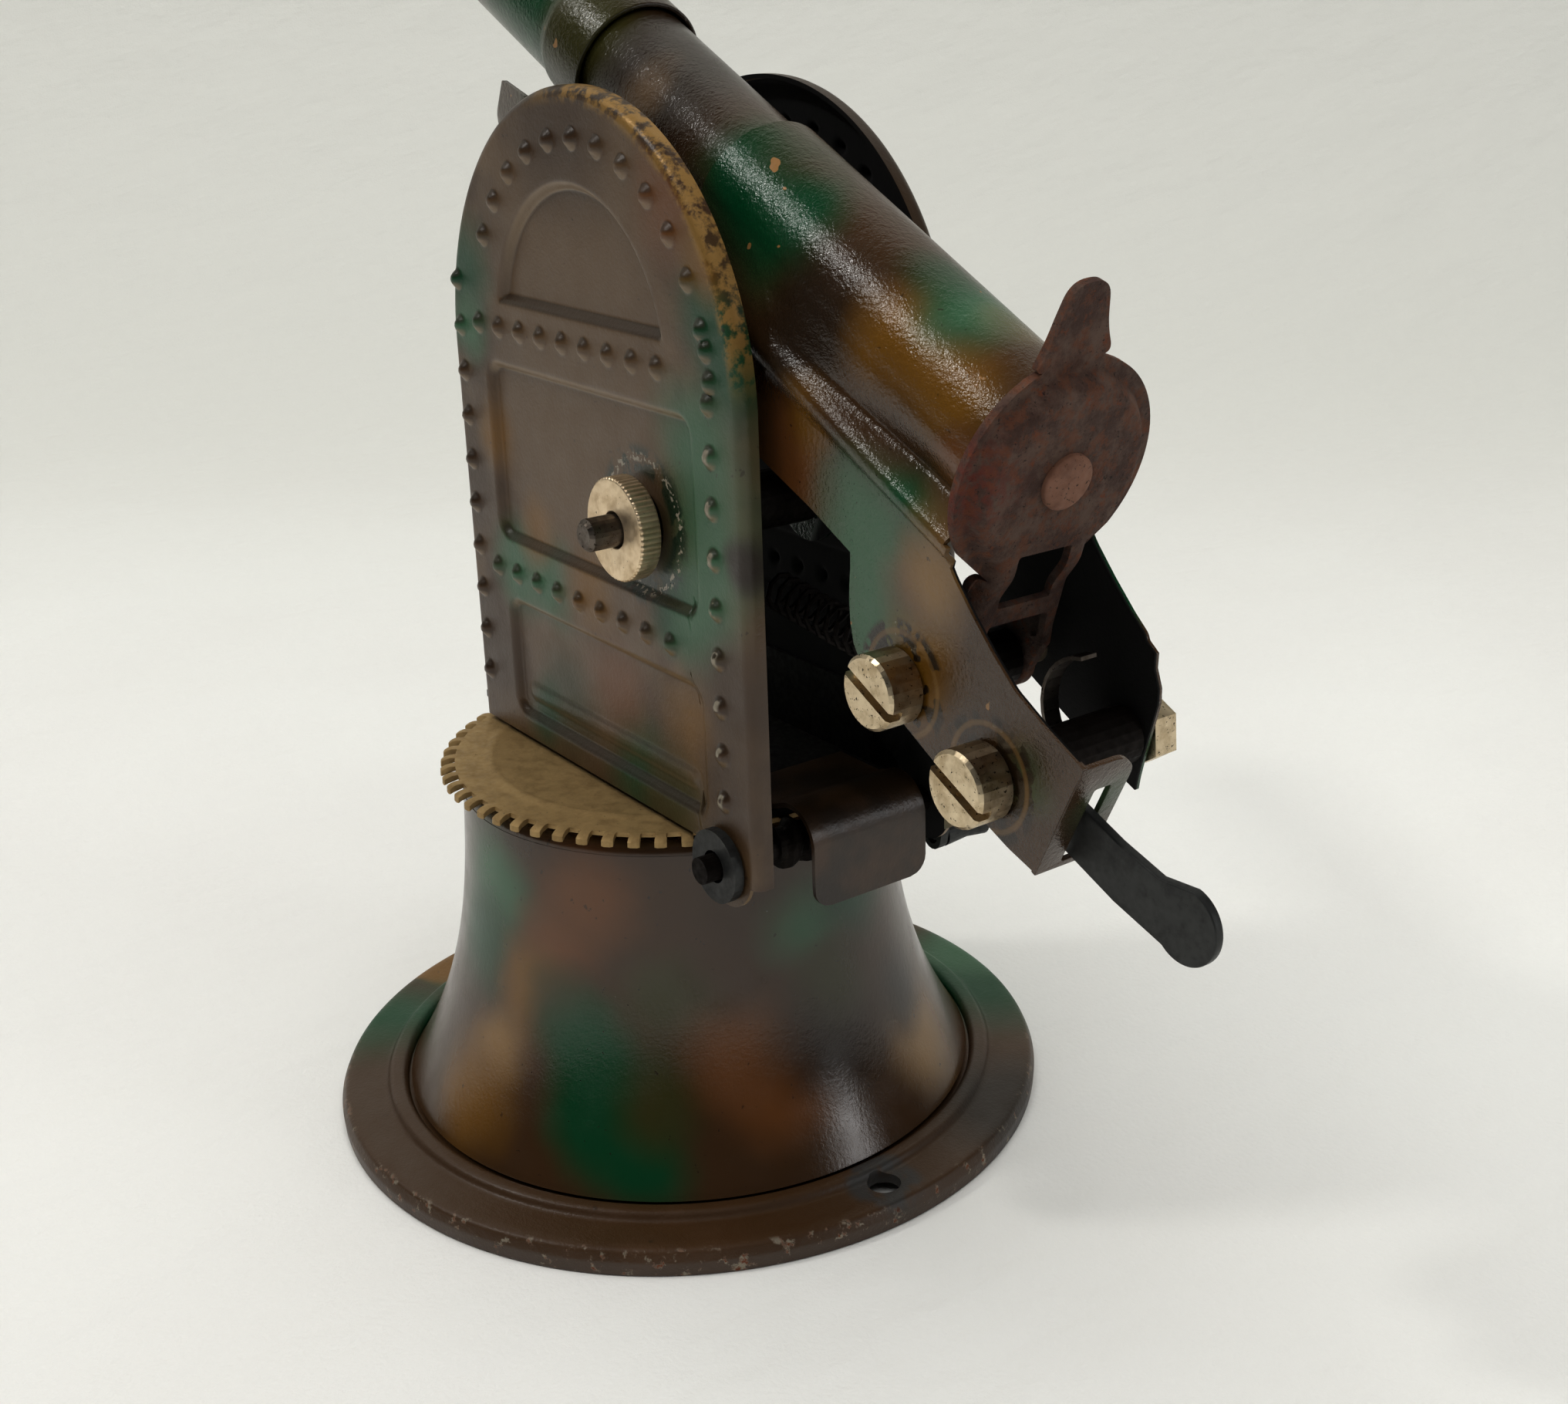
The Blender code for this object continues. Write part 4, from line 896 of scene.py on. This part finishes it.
def make_barrels():
    tube = rounded([(6.2, -40), (6.2, 39.4), (5.7, 39.4), (5.7, -40)], 0.1, 2)
    mesh = lathe("tube_visual", tube, "X", 160)
    mesh.transform(Matrix.Translation((0, 0, BARREL_W * MM)))
    bm = bmesh.new()
    bm.from_mesh(mesh)
    normal = Vector((math.cos(BREECH_LEAN), 0, -math.sin(BREECH_LEAN)))
    point = Vector((BREECH_U * MM, 0, BARREL_W * MM))
    bmesh.ops.bisect_plane(bm, geom=bm.verts[:] + bm.edges[:] + bm.faces[:], plane_co=point,
                           plane_no=normal, clear_inner=True)
    rim = [e for e in bm.edges if e.is_boundary]
    bmesh.ops.bridge_loops(bm, edges=rim)
    bmesh.ops.recalc_face_normals(bm, faces=bm.faces)
    bm.to_mesh(mesh)
    bm.free()
    add_piece("enamelled_tube", moved(mesh, GUN), "gun", MATERIALS["gun"],
              ["barrel_tube"])

    profile = rounded([
        (6.5, 32.2, 0.1), (6.95, 32.2, 0.2), (6.95, 39.2, 0.5), (6.45, 40.2, 0.5),
        (6.45, 115.1, 0.2), (6.95, 115.9, 0.3), (6.95, 120.5, 0.3), (6.45, 121.0, 0.2),
        (5.95, 121.0, 0.1), (5.95, 40.0, 0.1), (6.5, 39.8, 0.1),
    ], 0.1, 4)
    mesh = lathe("front_visual", profile, "X", 160)
    mesh.transform(Matrix.Translation((0, 0, BARREL_W * MM)))
    add_piece("enamelled_front_barrel", moved(mesh, GUN), "gun",
              MATERIALS["gun"], ["front_barrel"])

    rows = []
    for u, half, top in ((-3, 7.1, 22), (8, 7.1, 22), (9.5, 6.6, 22), (11.5, 5.6, 22), (13, 5.2, 22),
                         (43.5, 5.2, 21.2), (43.7, 5.17, 21.15), (49.3, 4.4, 19.8),
                         (49.5, 4.35, 19.6), (53, 2.3, 14.7)):
        drop = min(half, top - 12.1)
        section = [(-half, top)]
        section += [(half * a, 12.1 + drop + drop * b) for a, b in arc((0, 0), 1, -180, 0, 19)]
        section += [(half, top)]
        rows.append([(u, v, w) for v, w in section])
    add_piece("enamelled_trough", moved(sheet("trough_visual", rows, 0.5), GUN), "gun",
              MATERIALS["gun"], ["cradle_trough"], 30)


# ---- Hammer, trigger, nut --------------------------------------------------------------


def boss_depth(a, b):
    """Signed distance into the raised middle of the hammer: a disc and the neck below it."""
    disc = 8.3 - math.hypot(a, b)
    neck = min(4.7 - abs(a), -b + 2, b + 17.5)
    return max(disc, neck)


def make_hammer():
    disc = arc((0, 0), 10.2, -38, 58, 26)
    tab = rounded([(4.9, 9.3, 0.8), (3.9, 11.6, 1.2), (2.7, 16.4, 2.2), (-0.8, 16.6, 2.0),
                   (-1.8, 12.6, 1.2), (-2.9, 10.3, 1.0)], 1, 10)
    left = arc((0, 0), 10.2, 114, 218, 26)
    neck = rounded([(-6.2, -8.9, 1.4), (-5.2, -11.5, 1.0), (-4.9, -17.6, 0.3), (-3.6, -17.6, 0.3),
                    (-3.3, -13.9, 0.4), (3.3, -13.9, 0.4), (3.6, -17.6, 0.3), (4.9, -17.6, 0.3),
                    (5.2, -11.5, 1.0), (6.2, -8.9, 1.4)], 0.4, 5)
    outline = disc + tab + left + neck
    window = rounded([(-2.9, -12.2), (2.9, -12.2), (2.9, -6.6), (-2.9, -6.6)], 0.35)
    tool = prism("hammer_cut", outline, 8.0, [window])
    cell = 0.35
    rows = []
    for i in range(int(36 / cell)):
        b = -18.5 + cell * i
        row = []
        for j in range(int(21.7 / cell)):
            a = -10.8 + cell * j
            height = -0.35 + 1.35 * smoothstep(-0.7, 0.5, boss_depth(a, b))
            height -= 0.15 * smoothstep(9.0, 14.0, b)
            # The neck lies flatter, clear of the trigger's leaf spring as the hammer swings.
            height -= 0.95 * smoothstep(-8.0, -11.5, b)
            row.append((a, b, height))
        rows.append(row)
    plate = combined(sheet("hammer_slab", rows, 0.75), tool, "INTERSECT")
    # Plane (a, b, height) to the gun's (V, W, -U), leaning with the breech.
    to_plate = Matrix(((0, 0, -1, 0), (1, 0, 0, 0), (0, 1, 0, 0), (0, 0, 0, 1)))
    lean = Matrix.Rotation(BREECH_LEAN, 4, "Y")
    place = GUN @ Matrix.Translation((-34.7 * MM, 0, BARREL_W * MM)) @ lean @ to_plate
    add_piece("rusted_hammer", moved(plate, place), "hammer", MATERIALS["rust"],
              ["hammer_plate"], 50)
    for side, word in ((-1, "far"), (1, "near")):
        foot = Vector((-34.6 - 17 * math.sin(BREECH_LEAN), BARREL_W - 16.8))
        ear = [(foot.x - 0.5, foot.y - 0.5), (foot.x + 0.5, foot.y + 3.0), (foot.x + 1.7, foot.y + 2.8)]
        ear += arc((-34.2, 8.4), 2.9, 55, -195, 40)
        mesh = prism("ear", ear, 0.9, [arc((-34.2, 8.4), 1.8, 0, 350, 36)], 0.1)
        mesh.transform(Matrix.Translation((0, side * 4.4 * MM, 0)) @ TO_XZ)
        add_piece("hammer_ear_" + word, moved(mesh, GUN), "hammer",
                  MATERIALS["rust"])
    rivet = lathe("rivet", rounded([(0, 0), (0, 1.15), (2.2, 1.05, 0.2), (2.5, 0.85, 0.2), (2.5, 0)],
                                   0.05), steps=64)
    rivet.transform(Matrix.Translation((0, 0, 0.95 * MM)))
    add_piece("hammer_rivet_head", moved(rivet, place), "hammer",
              MATERIALS["rivet"], ["hammer_rivet"])


def make_trigger():
    pad = arc((-66.3, 10.9), 3.3, 78, 285, 40)
    hub = arc((-46.5, 8.8), 2.6, -95, 60, 20)
    outline = pad + [(-60, 6.9)] + hub + [(-43.5, 13.4), (-46.1, 13.4), (-50, 11.2), (-58, 11.7),
                                          (-62.6, 12.4)]
    mesh = prism("lever_visual", outline, 0.9, [arc((-46.5, 8.8), 1.8, 0, 350, 36)], 0.15)
    mesh.transform(Matrix.Translation((0, 4.4 * MM, 0)) @ TO_XZ)
    add_piece("blued_lever", moved(mesh, GUN), "trigger", MATERIALS["blued"],
              ["trigger_lever"])


def make_thumb_nut():
    def knurl(r, h, angle):
        if r < 4.9:
            return r
        return r - 0.11 * (0.5 + 0.5 * math.cos(58 * angle)) ** 2
    profile = rounded([(1.8, 0), (4.85, 0, 0.1), (5.08, 0.2, 0.1), (5.08, 2.1, 0.1), (4.85, 2.3, 0.1),
                       (1.8, 2.3, 0.15)], 0.1, 3)
    mesh = lathe("nut_visual", profile, "Y", 58 * 8, knurl)
    mesh.transform(Matrix.Translation(TRUNNION + Vector((0, 12.8 * MM, 0))))
    add_piece("knurled_nut", mesh, "thumb_nut", MATERIALS["pale_nickel"], ["thumb_nut"],
              35)


# ---- CAD nodes that keep their shape ---------------------------------------------------


def dress(names, material, bevel=0.0):
    """Gives CAD nodes a material and, where asked, softened edges."""
    for name in names:
        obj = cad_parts[name]
        obj.data.materials.clear()
        obj.data.materials.append(MATERIALS[material])
        if bevel:
            modifier = obj.modifiers.new("edges", "BEVEL")
            modifier.width = bevel * MM
            modifier.segments = 2
            modifier.limit_method = "ANGLE"
            modifier.angle_limit = math.radians(40)
            modifier.use_clamp_overlap = True


def dress_nodes():
    # The turntable bracket takes the near-black inside material: painted shade for where it sits, between
    # the shields.
    dress(["turntable_bracket"], "inside", 0.12)
    dress(["slewing_bolt", "slewing_washer", "slewing_nut", "trunnion_bush_left",
           "trunnion_bush_right", "trunnion_spacer"], "dark_steel")
    dress(["trunnion_stud"], "steel", 0.1)
    dress(["hammer_screw", "trigger_screw", "hammer_screw_nut", "trigger_screw_nut"], "nickel", 0.15)
    dress(["shaft_washer", "crank_arm", "crank_knob"], "blued", 0.1)
    dress(["worm_shaft"], "dark_steel")
    dress(["hammer_bush", "trigger_spacer_long", "trigger_spacer_short", "hammer_spring"],
          "dark_steel")
    dress(["trigger_leaf_spring"], "steel", 0.05)


# ---- Stage, light, camera --------------------------------------------------------------

CAMERA_AT = Vector((-167.96, 102.92, 119.06)) * MM
YAW, PITCH, ROLL = math.radians(-36.55), math.radians(-19.57), math.radians(-1.31)


def make_camera():
    data = bpy.data.cameras.new("camera")
    data.lens = 43.81
    data.sensor_width = 36
    data.sensor_fit = "HORIZONTAL"
    data.shift_x, data.shift_y = -0.0298, -0.0246
    data.clip_start, data.clip_end = 0.005, 20
    camera = bpy.data.objects.new("camera", data)
    bpy.context.scene.collection.objects.link(camera)
    ahead = Vector((math.cos(YAW) * math.cos(PITCH), math.sin(YAW) * math.cos(PITCH),
                    math.sin(PITCH)))
    right = ahead.cross(Vector((0, 0, 1))).normalized()
    up = right.cross(ahead)
    turn = Matrix.Rotation(ROLL, 4, -ahead)
    right, up = turn @ right, turn @ up
    rotation = Matrix((right, up, -ahead)).transposed().to_4x4()
    camera.matrix_world = Matrix.Translation(CAMERA_AT) @ rotation
    bpy.context.scene.camera = camera


def make_stage():
    """A white cloth that lies flat and rises behind the object."""
    heading = Vector((math.cos(YAW), math.sin(YAW), 0))
    side = Vector((-heading.y, heading.x, 0))
    path = [(-1.0, 0.0), (-0.6, 0.0), (0.0, 0.0), (0.30, 0.0)]
    path += [(0.30 + 0.35 * math.sin(math.radians(a)), 0.35 * (1 - math.cos(math.radians(a))))
             for a in range(5, 91, 5)]
    path += [(0.65, 1.6)]
    bm = bmesh.new()
    rows = []
    for along, up in path:
        rows.append([bm.verts.new(heading * along + side * across + Vector((0, 0, up)))
                     for across in (-2.5, 2.5)])
    for a, b in zip(rows, rows[1:]):
        bm.faces.new((a[0], b[0], b[1], a[1]))
    mesh = to_mesh("cloth", bm, 1)
    obj = bpy.data.objects.new("cloth", mesh)
    bpy.context.scene.collection.objects.link(obj)
    mesh.shade_smooth()
    paint = Paint("cloth")
    at = paint.at
    paint.mix(at.noise(0.006, 3.0).ramp(0.3, 0.7), srgb(226, 226, 222), base=srgb(221, 220, 216))
    # Painted shade: the cloth is painted darker further from the camera, where the light falls off.
    far_shade = at.vector("DOT_PRODUCT", (heading.x, heading.y, 0.0)).ramp(40.0, 420.0)
    paint.mix(far_shade, srgb(206, 206, 200))
    weave = at.noise(1.6, 2.0)
    folds = at.noise(0.012, 2.0)
    creases = at.vector("MULTIPLY", (1.0, 0.35, 1.0)).noise(0.035, 4.0, 0.6)
    mesh.materials.append(paint.finish(0.9, 0.0, [(folds, 3.0, 0.5), (creases, 3.2, 0.8),
                                                  (weave, 0.25, 0.4)]))


def add_light(name, at, target, size, power, color=(1, 1, 1)):
    data = bpy.data.lights.new(name, "AREA")
    data.shape = "RECTANGLE"
    data.size, data.size_y = size
    data.energy = power
    data.color = color
    obj = bpy.data.objects.new(name, data)
    bpy.context.scene.collection.objects.link(obj)
    at, target = Vector(at), Vector(target)
    obj.matrix_world = Matrix.Translation(at) @ (target - at).to_track_quat("-Z", "Y").to_matrix().to_4x4()
    return obj


def make_light():
    world = bpy.data.worlds.new("room")
    world.use_nodes = True
    world.node_tree.nodes["Background"].inputs[0].default_value = (0.96, 0.98, 1.0, 1)
    world.node_tree.nodes["Background"].inputs[1].default_value = 0.04
    bpy.context.scene.world = world
    add_light("lamp", (0.50, 0.80, 1.20), (-0.03, 0, 0.06), (0.12, 0.12), 3.8, (1.0, 0.99, 0.96))
    # A broad, even light that leaves no reflection of its own: the room above stays dark.
    ceiling = add_light("ceiling", (-0.25, 0.25, 1.6), (0, 0, 0), (2.0, 2.0), 35, (1.0, 0.995, 0.99))
    ceiling.visible_glossy = False
    add_light("window", (-1.25, -0.78, 0.46), (0, 0, 0.03), (0.30, 0.5), 2.2, (0.98, 0.99, 1.0))
    bpy.context.scene.view_settings.view_transform = "Standard"
    bpy.context.scene.view_settings.gamma = 0.85


make_camera()
make_pedestal()
make_shield("near_shield", 1, "left_shield")
make_shield("far_shield", -1, "right_shield")
make_worm_cover()
make_gun_body()
make_barrels()
make_hammer()
make_trigger()
make_thumb_nut()
dress_nodes()
make_stage()
make_light()
